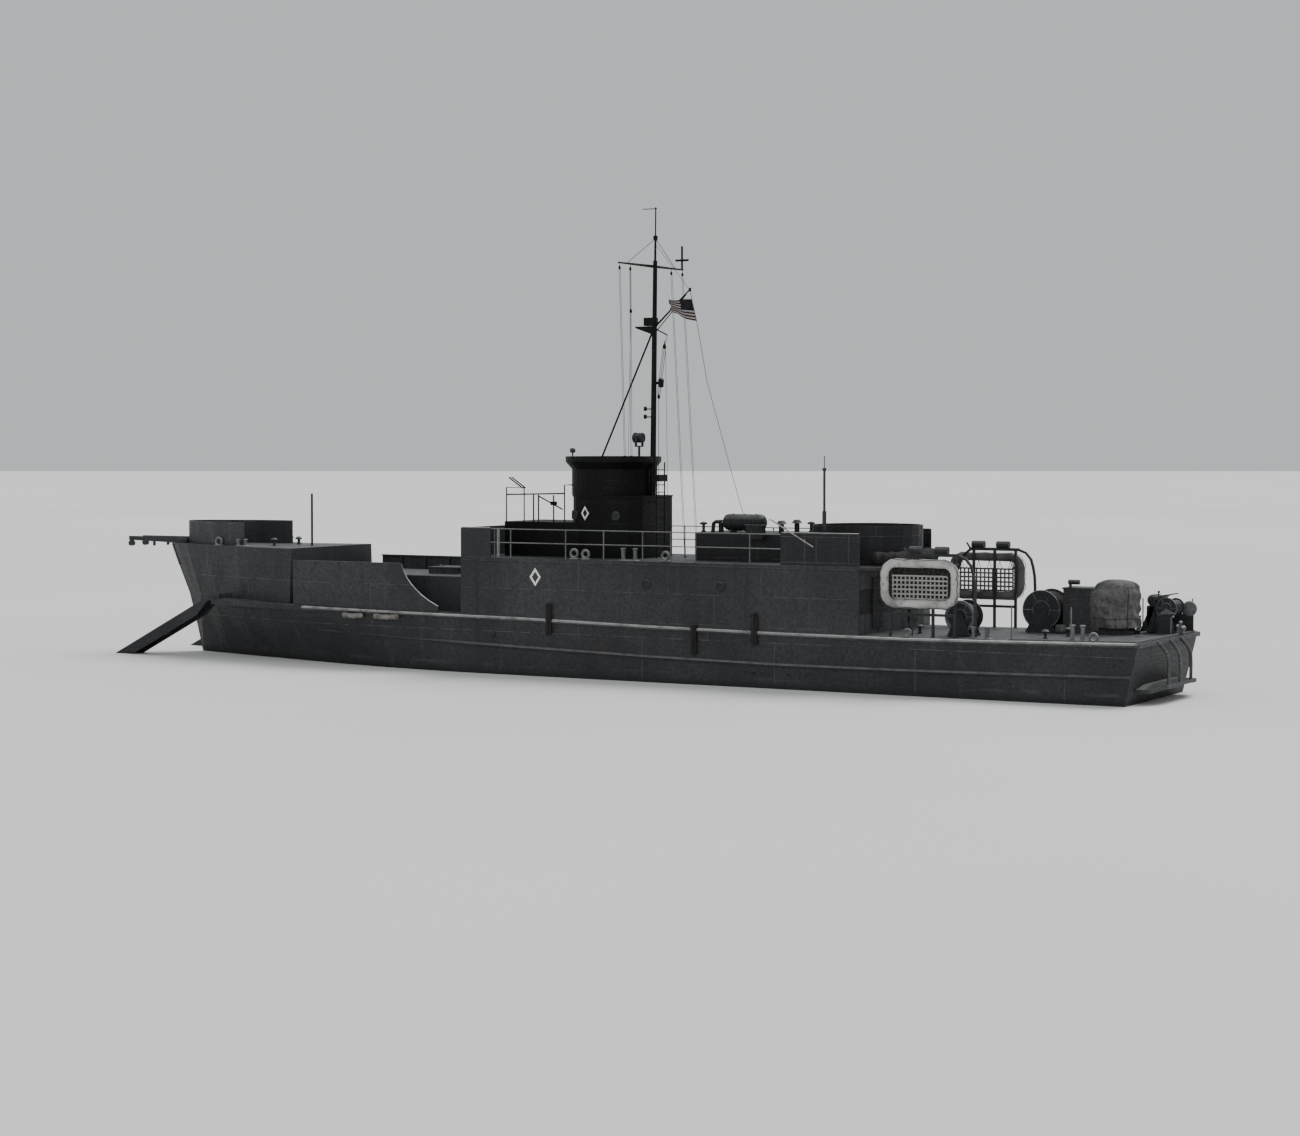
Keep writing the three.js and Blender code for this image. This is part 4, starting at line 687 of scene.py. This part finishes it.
def pulley(place, size=0.07):
    """A block: an egg-shaped shell, fuller at the foot where the sheave runs, with a strop above."""
    x, y, z = place
    shell = [(0.02, -1.25), (0.5, -1.0), (0.74, -0.3), (0.66, 0.4), (0.32, 1.05), (0.02, 1.25)]
    return [turned([(r * size, h * size) for r, h in shell], (x, y, z), sides=12),
            pipe([(x, y, z + size * 0.9), (x, y, z + size * 2.4)], size * 0.16, 5)]


YARD_Z, YARD_LONG, RIM_Z, ROOF_TOP, LOW_DECK = 17.0, 5.44, 9.09, 7.47, 4.89
YARD_X, YARD_FOOT = mast_x(YARD_Z) + 0.18, YARD_Z - 0.17
lines, blocks = [], []


def taut(*points, radius=0.009, sides=5):
    """Adds a line under tension through the points."""
    lines.append(pipe(points, radius, sides))


# Signal halyards: the height at the yard is fixed, and each foot is on the tower's rim or the deck.
for y, (foot_x, foot_y, foot_z) in ((2.62, (-1.03, 1.45, RIM_Z)), (1.75, (-1.22, 1.24, RIM_Z)),
                                    (-1.7, (-2.75, -0.6, LOW_DECK)), (-2.66, (-2.95, -1.3, LOW_DECK))):
    for dx in (-0.03, 0.03):
        taut((YARD_X + dx, y, YARD_FOOT), (foot_x + dx, foot_y, foot_z))
    blocks += pulley((YARD_X, y, YARD_Z - 0.2))
    blocks.append(slab(foot_x, foot_y, 0.05, 0.04, foot_z - 0.03, foot_z + 0.03))
whip = (-1.46, 1.7, 15.07)
blocks += pulley(whip, 0.08)
taut((YARD_X, 1.75, YARD_FOOT), whip)
taut(whip, (-1.13, 1.34, RIM_Z))
# Cargo tackle that hangs from a short spreader abaft the mast.
head, upper = (-2.23, 0, 14.12), (-2.09, 0, 13.66)
lower_x, lower_y, lower_z = -1.83, 0.02, 11.58
blocks.append(pipe([(mast_x(14.42), 0, 14.42), head], 0.028, 6))
blocks += pulley(upper, 0.1) + pulley((lower_x, lower_y, lower_z), 0.09)
for dx in (-0.07, 0.0, 0.07):
    taut((upper[0] + dx, 0, upper[2]), (lower_x + dx, lower_y, lower_z + 0.1), radius=0.013)
taut(head, upper, radius=0.014)
taut((lower_x, lower_y, lower_z - 0.1), (-1.95, 0.25, ROOF_TOP), radius=0.013)
taut((upper[0] - 0.05, 0, upper[2]), (-2.05, -0.35, ROOF_TOP))
# Vang under the gaff, the ensign's downhaul, and the lift to the masthead.
taut((mast_x(14.2), 0, 14.2), (-3.12, 0, 15.78), radius=0.024, sides=6)
taut((-3.63, 0, 14.62), (-4.1, 0, 12.18), (-5.29, 0, 8.3), (-6.02, 0, 6.02), radius=0.012)
taut((-3.3, 0, 15.95), (mast_x(17.9), 0, 17.9))
blocks += pulley((-6.02, 0, 6.14))
# Lamps on the mast's brackets, the wedge under the step box, and the cross on the yard's far arm.
blocks.append(turned([(0.02, -0.2), (0.11, -0.16), (0.12, 0.1), (0.15, 0.12), (0.05, 0.2)],
                     (mast_x(12.14) - 0.34, 0, 12.14)))
blocks += [turned([(0.01, -0.09), (0.07, -0.06), (0.07, 0.05), (0.09, 0.06), (0.02, 0.11)],
                  (mast_x(z) + 0.4, 0, z)) for z in (10.73, 11.06)]
wedge_x = mast_x(14.4)
blocks.append(skin([[(wedge_x, y, 14.14), (wedge_x, y, 14.5), (-0.72, y, 14.5), (-0.8, y, 14.42)]
                    for y in (-0.12, 0.12)]))
cross_y = 0.09 - YARD_LONG / 2
blocks.append(pipe([(YARD_X, cross_y, YARD_Z), (YARD_X, cross_y, YARD_Z + 1.0)], 0.045, 8))
blocks.append(pipe([(YARD_X + dx, cross_y, YARD_Z + 0.4) for dx in (-0.31, 0.31)], 0.048, 8))
piece("mast_lines", lines, dark_rope)
piece("mast_blocks", blocks, tower_shaded_paint)

# %% [markdown]
# ## White diamonds
# Two plain outline diamonds are painted on the port side, and here on both. Paint could be
# a mask in the material, but the house and the round pilot house need it on different
# surfaces, so each diamond is a closed strip that follows its plate, 3 mm proud of it.


# %% White diamonds
PILOT_X, PILOT_RADIUS = 0.37, 1.7


def diamond(place, half_wide, half_high, stroke):
    """Outer and inner outline of a diamond, walked round its four sides, laid on a surface by place(a, z, out)."""
    corner = np.array([(1, 0), (0, 1), (-1, 0), (0, -1)], float)
    walk = np.concatenate([c + (n - c) * np.linspace(0, 1, 6, endpoint=False)[:, None]
                           for c, n in zip(corner, np.roll(corner, -1, 0))]) * (half_wide, half_high)
    inset = 1 - stroke / min(half_wide, half_high)
    section = ((1, 0.006), (inset, 0.006), (inset, -0.02), (1, -0.02))
    return skin([[place(a * share, b * share, out) for share, out in section] for a, b in walk], closed=True)


def on_side(x, y, z, side):
    return lambda a, b, out: (x + a, side * (y + out), z + b)


def on_pilot_house(way, z, side):
    """Laid round the front of the pilot house, at an angle from its axis."""
    def place(a, b, out):
        turn, reach = way + a / PILOT_RADIUS, PILOT_RADIUS + out
        return PILOT_X + reach * math.cos(turn), side * reach * math.sin(turn), z + b

    return place


white_marking = two_tone(
    "white_marking", (0.78, 0.78, 0.75), (0.1, 0.1, 0.1), (9.0, 9, 0.7), (0.56, 0.66, 0.0, 0.8), 0.6,
    (20, 5), 0.3, 0.003, specular=0.3)
piece("diamonds", [shape for side in (1, -1) for shape in (
    diamond(on_side(2.09, 3.46, 4.11, side), 0.27, 0.38, 0.105),
    diamond(on_pilot_house(math.radians(76), 6.72, side), 0.22, 0.3, 0.085))], white_marking)

# %% [markdown]
# ## Fittings along the sides
# Chocks, bitts, fender boards and outlets sit where lines and hands need them. They are
# turned or chamfered skins, dished and flanged as cast steel is. Most come in pairs, from
# one table.

# %% Chocks, bitts, boards and outlets
BOAT_DECK, FORE_DECK, HOUSE_SIDE, DECK_EDGE = 4.87, 5.0, 3.455, 3.36
ABEAM = (0, 1, 0)
fittings = []
for x, z, r in ((-0.28, 5.1, 0.2), (0.27, 5.12, 0.21), (-4.03, 5.11, 0.2)):
    fittings += [ring_of((x, DECK_EDGE, z), r * 0.78, 0.055, steps=28),
                 slab(x, DECK_EDGE, 0.2, 0.08, BOAT_DECK - 0.005, BOAT_DECK + 0.06, 0.02)]


def bitts(x, y, deck, height, spacing=0.56, radius=0.085):
    """Two posts with mushroom heads on one foot plate."""
    profile = [(radius * 1.4, 0), (radius, 0.05), (radius * 0.92, height * 0.55), (radius, height - 0.08),
               (radius * 1.35, height - 0.05), (radius * 1.35, height - 0.015), (radius * 0.9, height)]
    return [*(turned(profile, (x + dx, y, deck)) for dx in (-spacing / 2, spacing / 2)),
            slab(x, y, spacing * 0.8, 0.13, deck - 0.01, deck + 0.035, 0.015)]


for row in ((-2.28, 3.25, BOAT_DECK, 0.52), (-17.52, 3.1, 2.27, 0.46), (-21.38, 3.1, 2.335, 0.6, 0.4),
            (18.6, 1.95, FORE_DECK, 0.32, 0.42, 0.07)):
    fittings += bitts(*row)
for x, y, z, r in ((-22.07, 3.28, 2.5, 0.15), (20.11, 1.72, 5.17, 0.17), (-14.6, 3.28, 2.4, 0.14)):
    fittings += [ring_of((x, y, z), r, 0.05), slab(x, y, r * 1.3, 0.09, z - r - 0.05, z - r + 0.03, 0.015)]
piece("chocks_and_bitts", both_sides(fittings), rail_paint)

pads = []
for x0, x1, foot, top in ((1.25, 1.53, 1.75, 3.02), (-5.55, -5.27, 1.2, 2.4), (-8.27, -7.97, 1.7, 2.95)):
    pads += [block((x, 3.545, foot), (x + 0.12, 3.585, top), 0.008) for x in np.arange(x0, x1 - 0.05, 0.135)]
    pads += [block((x0 - 0.02, 3.47, z - 0.03), (x1 + 0.02, 3.55, z + 0.03), 0.008)
             for z in np.linspace(foot + 0.12, top - 0.12, 3)]
tarred_timber = two_tone(
    "tarred_timber", (0.009, 0.009, 0.009), (0.026, 0.025, 0.023), (2.0, 7, 0.6), (0.35, 0.7), 0.8, None, 0.5,
    0.006, (8, 8, 0.7), specular=0.25)
piece("fender_boards", both_sides(pads), tarred_timber)

outlet = [(0.055, -0.02), (0.085, 0.0), (0.085, 0.035), (0.062, 0.05), (0.055, 0.02), (0.02, 0.015)]
outlets = [turned(outlet, (x, HOUSE_SIDE, z), ABEAM, 14) for x, z in (
    (-5.44, 1.55), (-7.74, 0.62), (-8.1, 0.6), (-8.45, 0.6), (-8.8, 0.6), (-9.59, 0.62), (-10.38, 0.6),
    (4.2, 1.62))]
piece("discharge_outlets", both_sides(outlets), gear_paint)

# %% [markdown]
# Weld straps and butt laps cross the sides in the photo as faint lighter lines. Thin raised
# bands catch light as the real laps do, which a painted line cannot.

# %% Straps, edge bars and the stem band
straps = [block((x - 0.04, HOUSE_SIDE, 2.44), (x + 0.04, 3.468, 4.72), 0.004) for x in (-0.15, -9.2, -12.45)]
straps.append(block((-12.6, 3.45, 4.715), (5.76, 3.49, 4.755), 0.008))
straps += [block((x - 0.03, HOUSE_SIDE, 4.95), (x + 0.03, 3.468, 6.12), 0.004) for x in (-12.2, -10.3)]
piece("side_straps", both_sides(straps), house_paint)

screen_end = ((8.9, 4.47), (8.79, 4.18), (8.6, 3.86), (8.39, 3.62), (8.13, 3.38), (7.87, 3.18), (7.5, 2.95),
              (7.02, 2.72))
bars = [pipe([(x, 3.345, z) for x, z in screen_end], 0.035, 6),
        *(block((x0, DECK_EDGE, z), (x1, 3.475, top), 0.012)
          for x0, x1, z, top in ((4.35, 5.72, 6.07, 6.125), (-12.6, -9.3, 6.12, 6.17)))]
piece("edge_bars", both_sides(bars), guard_paint)
stanchion = pipe([(3.93, 3.415, 4.9), (3.93, 3.415, 6.1)], 0.065, 12)
piece("thick_stanchions", both_sides([stanchion]), pale_paint)


def stem_strip(rows, after, fore):
    """A strip up the stem through rows of (height, x). Its two edges are given as (forward, half width)."""
    return skin([[(x + after[0], after[1], z), (x + fore[0], fore[1], z), (x + fore[0], -fore[1], z),
                  (x + after[0], -after[1], z)] for z, x in rows])


stem = ((-0.24, 22.15), (0.0, 22.4), (1.2, 22.72), (2.25, 23.04), (2.7, 23.18), (3.8, 23.71), (4.96, 24.22))
bow_parts = [stem_strip(stem, (-0.16, 0.075), (0.035, 0.045)),
             turned([(0.05, -0.17), (0.11, -0.16), (0.075, 0), (0.11, 0.16), (0.05, 0.17)], (24.3, 0, 5.08), ABEAM),
             stem_strip(((3.95, 23.78), (4.4, 23.98), (4.93, 24.21)), (-0.05, 0.13), (0.045, 0.06)),
             *(slab(24.22, y, 0.2, 0.02, 4.99, 5.2, 0.012) for y in (-0.19, 0.19))]
piece("stem_band", bow_parts, guard_paint)

# %% [markdown]
# Scuttles and dogs make the openings read as doors and lights. Each scuttle is a
# flanged ring with a recessed dark glass. What sits on a door rides with it.


# %% Scuttles, dogs and door fittings
def scuttle(place, way, radius=0.15):
    """A flanged ring with a rim that turns back to the glass, on an axis that points outwards."""
    return turned([(radius * 1.35, -0.02), (radius * 1.35, 0.025), (radius * 1.12, 0.05), (radius, 0.05),
                   (radius * 0.93, 0.015)], place, way, 22)


pane = Shader("scuttle_glass", specular=0.6)
film = pane.noise(12.0, 5)
scuttle_glass = pane.finish(pane.mix(film, (0.006, 0.008, 0.009), (0.018, 0.021, 0.022)),
                            pane.band(film, 0.3, 0.7, 0.06, 0.2))
proud = PILOT_RADIUS + 0.005
places = [((PILOT_X + proud * math.cos(a), proud * math.sin(a), 6.62), (math.cos(a), math.sin(a), 0))
          for a in np.radians([-52, -26, 0, 26, 52])]
places += [((x, side * (HOUSE_SIDE + 0.01), 3.95), (0, side, 0)) for x in (-3.2, -6.6) for side in (1, -1)]
places += [((-0.75, proud, 6.62), ABEAM), ((-12.655, 0, 3.95), (-1, 0, 0))]
glass = [(0.02, 0.0), (0.14, 0.004), (0.14, -0.01), (0.02, -0.012)]
piece("scuttle_rims", [scuttle(place, way) for place, way in places], gear_paint)
piece("scuttle_panes", [turned(glass, place, way, 20) for place, way in places], scuttle_glass)


def full_size_box(node):
    return (np.array(corner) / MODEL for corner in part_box(node))


for side in ("port", "starboard"):
    (x, y_low, z_low), (_, y_high, z_high) = full_size_box(f"aft_door_{side}")
    dogs = []
    for z in np.linspace(z_low + 0.25, z_high - 0.25, 3):
        for y, reach in ((y_low + 0.07, 0.12), (y_high - 0.07, -0.12)):
            dogs.append(pipe([(x - 0.01, y, z), (x - 0.045, y, z)], 0.022, 8))
            dogs.append(pipe([(x - 0.04, y, z - 0.02), (x - 0.04, y + reach, z + 0.02)], 0.014, 6))
    piece(f"aft_door_dogs_{side}", dogs, gear_paint, body=f"aft_door_{side}")
low, high = full_size_box("pilot_house_door")
door_light = scuttle(((low[0] + high[0]) / 2, low[1] + 0.05, 6.35), (0, -1, 0), 0.13)
piece("pilot_door_light", [door_light], gear_paint, body="pilot_house_door")

# %% [markdown]
# ## Gear on the boat deck
# The engine room's silencer lies on the casing as a banded drum on saddles. A locker hangs
# at the casing's edge, a boathook stands along the side shield, and thin pipe frames stand
# along the port edge of the chart house roof.

# %% Silencer, locker, roof frames and boathook
CASING_TOP = 6.02
DRUM_X, DRUM_LONG = -5.46, 1.87
drum_end = [(0.02, 0.0), (0.2, 0.02), (0.3, 0.1), (0.33, 0.2)]
gear = [turned(drum_end + [(r, DRUM_LONG - h) for r, h in drum_end[::-1]], (DRUM_X, 1.0, 6.44), (-1, 0, 0), 28)]
for share in (0.22, 0.5, 0.78):
    x = DRUM_X - DRUM_LONG * share
    gear.append(ring_of((x, 1.0, 6.44), 0.335, 0.018, (1, 0, 0), 32, 6))
    if share != 0.5:
        gear.append(slab(x, 1.0, 0.06, 0.22, CASING_TOP, 6.16, 0.015))
gear.append(pipe([(-5.3, 1.0, 6.44), (-5.06, 1.0, 6.44), (-4.96, 1.0, 6.38), (-4.92, 1.0, CASING_TOP)], 0.08, 12))
gear.append(block((-7.58, 1.455, 5.77), (-6.81, 1.78, 6.33), 0.02))
gear.append(block((-7.61, 1.45, 6.33), (-6.78, 1.81, 6.37), 0.01))
gear += [block((x - 0.03, 1.775, 6.18), (x + 0.03, 1.8, 6.36), 0.005) for x in (-7.4, -7.0)]
cowl = [(0.1, 0), (0.1, 0.05), (0.06, 0.06), (0.06, 0.3), (0.16, 0.31), (0.15, 0.38), (0.05, 0.42)]
gear += [turned(cowl, (x, y, CASING_TOP), sides=18) for x, y in ((-4.6, 1.2), (-8.3, -1.2))]
piece("casing_gear", gear, shield_shaded_paint)

ROOF_Y, ROOF_Z, FRAME_Z = 1.2, 6.28, 7.45
roof_runs = [
    [(4.95, ROOF_Z), (4.95, 7.75), (4.06, 7.76), (4.06, ROOF_Z)], [(4.95, FRAME_Z), (2.05, 7.52)],
    [(4.12, 7.72), (4.82, 8.17), (4.66, 8.17), (4.00, 7.74)],
    *([(x, ROOF_Z), (x, FRAME_Z)] for x in (3.59, 3.34, 2.59)), [(3.34, 7.4), (2.15, 6.85)],
    [(2.05, ROOF_Z), (2.05, 7.88), (1.62, 7.89)]]
roof_parts = [pipe([(x, ROOF_Y, z) for x, z in run], 0.03, 6) for run in roof_runs]
roof_parts.append(slab(2.59, ROOF_Y, 0.12, 0.1, 7.02, 7.18, 0.02))
piece("roof_frames", roof_parts, tower_shaded_paint)

hook_low, hook_high = np.array((-10.71, 3.51, 5.61)), np.array((-8.88, 3.51, 6.63))
way = unit(hook_high - hook_low)
hook = [pipe([hook_low, hook_high], 0.03, 8),
        pipe([hook_high, hook_high + way * 0.1, hook_high + way * 0.12 + [0, 0, -0.09]], 0.016, 6)]
for share in (0.22, 0.7):
    x, _, z = hook_low + (hook_high - hook_low) * share
    hook.append(block((x - 0.04, HOUSE_SIDE, z - 0.06), (x + 0.04, 3.5, z + 0.06), 0.01))
piece("boathook", hook, scrubbed_slats)

# %% [markdown]
# Rolls of net and rope fenders are padded pieces: lumpy rolls bound at intervals. A
# section that swells between its bindings, with strands wound round it as ridges, says
# rope without modelling thousands of strands. A small canvas bundle is made the same way.


# %% Net roll, deck bundle and rope fenders
def bound_roll(path, radius, bindings, wobble, steps=90):
    """A section along a path, drawn in at each binding and ridged by a slow helix of strands."""
    path = np.asarray(path, float)
    sides = 26
    t = np.linspace(0, 1, steps)
    spot = np.stack([np.interp(t, np.linspace(0, 1, len(path)), path[:, c]) for c in range(3)], 1)
    ends = np.clip(np.minimum(t, 1 - t) / 0.04, 0.15, 1) ** 0.5
    swell = radius * ends * (0.86 + 0.14 * np.abs(np.sin(t * np.pi * bindings)) ** 0.5)
    points, faces = pipe(spot, swell, sides)
    points = points.reshape(steps, sides, 3)
    turn, t = turns(sides)[None, :], t[:, None]
    ridge = 1 + wobble * np.sin(6 * turn + 40 * t) + wobble * 0.6 * np.sin(3 * turn - 23 * t + 1)
    points = spot[:, None] + (points - spot[:, None]) * ridge[..., None]
    return points.reshape(-1, 3), faces


scramble_net = netting(
    "scramble_net", 14.0, (0.02, 0.1), (0.055, 0.055, 0.054), (0.015, 0.015, 0.015), 0.6, 0.7, 0.012)
roll_path = [(-12.75, 2.55, 5.16), (-13.42, 1.9, 5.15), (-13.42, -1.9, 5.15), (-12.75, -2.55, 5.16)]
net_roll = piece("net_roll", [bound_roll(roll_path, 0.27, 9, 0.06)], scramble_net, sharp=80)
bundle = bound_roll([(-19.5, -0.64, 2.47), (-19.12, -0.6, 2.46)], 0.18, 1, 0.05, steps=40)
deck_bag = piece("deck_bag", [bundle], cotton_canvas, sharp=80)
for name, x0, x1, bound in (("aft", 8.87, 10.17, 5), ("fore", 10.75, 11.81, 4)):
    fender_path = [(x0, 3.6, 2.24), ((x0 + x1) / 2, 3.605, 2.2), (x1, 3.6, 2.24)]
    fender = piece(f"rope_fender_{name}", [bound_roll(fender_path, 0.105, bound, 0.14)], rope_fibre,
                   sharp=80)
    lanyards = [pipe([(x, 3.44, 2.5), (x, 3.57, 2.47), (x, 3.6, 2.33)], 0.014, 5) for x in (x0 + 0.15, x1 - 0.15)]
    piece(f"fender_lanyards_{name}", lanyards, rope_fibre)

# %% [markdown]
# ## Drums and stern winch
# Wound rope reads as a row of rounded ridges, so each winding is one turned profile with a
# wave along its length, and it rides on its drum. Rims and the reel's band take the paler
# rail paint with its rubbed edges: partly wear, partly a painted highlight. The winch gets
# its gear case, guard and sheave.


# %% Windings, rims and winch gear
def winding(centre, half, radius, ridge):
    """Profile of side-by-side turns of rope: half a sine wave for each turn, closed at both ends."""
    h = np.linspace(0, 2 * half, int(2 * half / ridge) * 5 + 1)
    r = radius + ridge * 0.5 * np.abs(np.sin(np.pi * h / ridge)) ** 0.7
    profile = [(radius * 0.9, 0.0), *zip(r, h), (radius * 0.9, 2 * half)]
    return turned(profile, (centre[0], centre[1] - half, centre[2]), ABEAM, 32)


def upright_arc(centre, angles, rows):
    """A skin through rows of (radius, abeam), swung through angles in the craft's side view."""
    x, y, z = centre
    return [[(x + r * math.cos(a), y + out, z + r * math.sin(a)) for r, out in rows] for a in angles]


cable_rubber = two_tone(
    "cable_rubber", (0.01, 0.01, 0.01), (0.04, 0.04, 0.038), (9.0, 7), (0.4, 0.7), (0.5, 0.75), None, 0.3,
    0.002, specular=0.35)
drums = {  # centre, half length, rope radius, flange radii starboard and port, ridge, finish
    "cable_reel": ((-16.35, 1.9, 3.02), 0.38, 0.47, (0.62, 0.62), 0.055, cable_rubber),
    "hawser_drum": ((-18.4, -1.5, 3.16), 0.56, 0.66, (0.78, 0.78), 0.075, dark_rope),
    "winch_drum": ((-23.2, -2.18, 3.34), 0.56, 0.27, (0.34, 0.42), 0.04, gear_paint),
}
for drum, (centre, half, radius, flanges, ridge, finish) in drums.items():
    piece(f"{drum}_winding", [winding(centre, half - 0.035, radius, ridge)], finish, body=drum, sharp=80)
    rims = []
    for sign, flange in zip((-1, 1), flanges):
        face = (centre[0], centre[1] + sign * (half + 0.03), centre[2])
        rims.append(ring_of(face, flange - 0.02, 0.022, steps=48, sides=6))
        rims.append(ring_of(face, flange * 0.45, 0.014, steps=32, sides=6))
        for turn in turns(6):
            way = np.array((math.cos(turn), 0, math.sin(turn)))
            rims.append(pipe([face + way * flange * 0.45, face + way * (flange - 0.03)], 0.014, 5))
    # Rims in the paler rail paint: a painted highlight as well as rubbed wear.
    piece(f"{drum}_rims", rims, rail_paint, body=drum)
reel, reel_half, _, (_, reel_rim), *_ = drums["cable_reel"]
band_rows = [(reel_rim + r, reel_half + 0.012 + out) for r, out in (
    (-0.11, 0.0), (-0.005, 0.0), (0.012, 0.02), (-0.005, 0.045), (-0.11, 0.045), (-0.12, 0.02))]
# The reel's band in the paler rail paint: partly a painted highlight.
piece("cable_reel_band", [skin(upright_arc(reel, turns(48), band_rows), closed=True)], rail_paint,
      body="cable_reel")

gear_case = [(0.02, 0), (0.2, 0.02), (0.22, 0.1), (0.22, 0.75), (0.14, 0.84), (0.02, 0.85)]
hood_rows = ((0.5, -2.86), (0.5, -1.5), (0.525, -1.5), (0.525, -2.86))
knob = [(0.005, 0), (0.04, 0.01), (0.05, 0.05), (0.03, 0.09), (0.005, 0.1)]
winch = [block((-22.74, -2.72, 2.37), (-22.36, -1.72, 3.42), 0.04),
         turned(gear_case, (-22.56, -2.62, 3.62), ABEAM, 20),
         block((-23.84, -2.97, 2.4), (-23.4, -2.93, 3.3), 0.02),
         skin(upright_arc((-23.2, 0, 3.34), np.radians(np.linspace(25, 100, 14)), hood_rows)),
         *(pipe([(-22.76, y, 3.52), (-22.74, y, 3.0), (-22.6, y, 2.5)], 0.022, 6) for y in (-2.82, -1.54)),
         pipe([(-22.86, -1.42, 2.4), (-22.9, -1.36, 3.3), (-22.98, -1.36, 3.95)], 0.024, 8),
         turned(knob, (-22.98, -1.36, 3.93))]
piece("winch_gear", winch, gear_paint)
slope = [[(-22.1, y, 2.4), (-22.36, y, 2.42), (-22.8, y, 3.66), (-22.62, y, 3.66)] for y in (-2.4, -1.72)]
piece("winch_guard", [skin(slope)], gear_paint)

sheave = [(0.02, 0), (0.24, 0.01), (0.28, 0.02), (0.3, 0.05), (0.28, 0.08), (0.24, 0.09), (0.02, 0.1)]
fin = [[(-22.92, y, 3.1), (-23.22, y, 3.34), (-23.62, y, 3.14)] for y in (-1.5, -1.46)]
disc_rim = [turned(sheave, (-23.68, -2.98, 3.27), ABEAM, 30), skin(fin),
            pipe([(-23.46, -1.38, 2.4), (-23.46, -1.38, 2.98), (-23.56, -1.38, 3.06)], 0.045, 10)]
for x, z, size in ((-23.66, 2.66, 0.1), (-23.86, 2.6, 0.11), (-23.76, 2.82, 0.07)):
    valve = [(0.02, 0), (size * 0.7, 0.01), (size, 0.06), (size * 0.8, 0.16), (size * 0.4, 0.22), (0.02, 0.24)]
    disc_rim.append(turned(valve, (x, -1.72, z), ABEAM))
    disc_rim.append(slab(x, -1.61, 0.04, 0.05, 2.38, z))
piece("sheave_rim", disc_rim, rail_paint)

# %% [markdown]
# Small fittings finish the after deck and the bridge: mushroom vents, deck plugs, and a
# hooded lamp on the tower's rim.

# %% Deck vents, plugs and the rim lamp
mushroom = [(0.09, 0), (0.09, 0.04), (0.055, 0.05), (0.055, 0.22), (0.15, 0.24), (0.16, 0.28), (0.1, 0.34),
            (0.01, 0.36)]
plug = [(0.16, 0), (0.16, 0.015), (0.13, 0.025), (0.05, 0.025), (0.04, 0.012), (0.005, 0.012)]
rim_lamp = [(0.03, 0), (0.03, 0.16), (0.11, 0.18), (0.12, 0.3), (0.08, 0.36), (0.01, 0.37)]
small = [turned(mushroom, place, sides=20) for place in (
    (-19.77, 2.2, 2.3), (-14.2, 1.2, 2.24), (-14.6, -1.9, 2.24), (-17.3, -2.9, 2.26), (-20.2, 0.9, 2.32),
    (17.6, 0.9, FORE_DECK), (17.6, -0.9, FORE_DECK))]
small += [turned(plug, (x, 0.35, np.interp(x, [-23.85, -21.2, -18.0, -14.3], [2.375, 2.33, 2.275, 2.23])), sides=20)
          for x in (-15.2, -18.9, -21.0, -22.8)]
small.append(turned(rim_lamp, (1.37, 1.66, 9.07), sides=18))
piece("deck_fittings", small, gear_paint)

# %% [markdown]
# ## Floor and light
# The craft floats, so the pale floor lies at its waterline. The light is a bright overcast
# sky with one large soft source above the far side, which leaves the near side in shade
# and puts a bright rim on decks and guards, as in the photo.

# %% Floor and light
FLOOR_HALF = 600.0
floor_mesh = bpy.data.meshes.new("floor")
floor_mesh.from_pydata([(x * FLOOR_HALF, y * FLOOR_HALF, 0) for x, y in ((-1, -1), (1, -1), (1, 1), (-1, 1))],
                       [], [(0, 1, 2, 3)])
pale_floor = Shader("pale_floor")
cloudy = pale_floor.mix(pale_floor.band(pale_floor.noise(0.05, 3), 0.3, 0.7), (0.7, 0.7, 0.69), (0.74, 0.74, 0.735))
floor_mesh.materials.append(pale_floor.finish(cloudy, 0.8))
in_scene("floor", floor_mesh)

sky = bpy.data.worlds.new("studio")
bpy.context.scene.world = sky
sky.use_nodes = True
sky.node_tree.nodes["Background"].inputs["Color"].default_value = (0.86, 0.88, 0.9, 1)
sky.node_tree.nodes["Background"].inputs["Strength"].default_value = 0.68


def sun(name, way, strength, spread):
    """A soft lamp at no set distance, so that it lights the whole floor alike."""
    data = bpy.data.lights.new(name, "SUN")
    data.energy, data.angle = strength, math.radians(spread)
    in_scene(name, data).rotation_euler = Vector(way).to_track_quat("-Z", "Y").to_euler()


sun("key", (0.24, 0.6, -1.0), 2.5, 35)
sun("fill", (0.3, -0.85, -0.45), 0.7, 60)
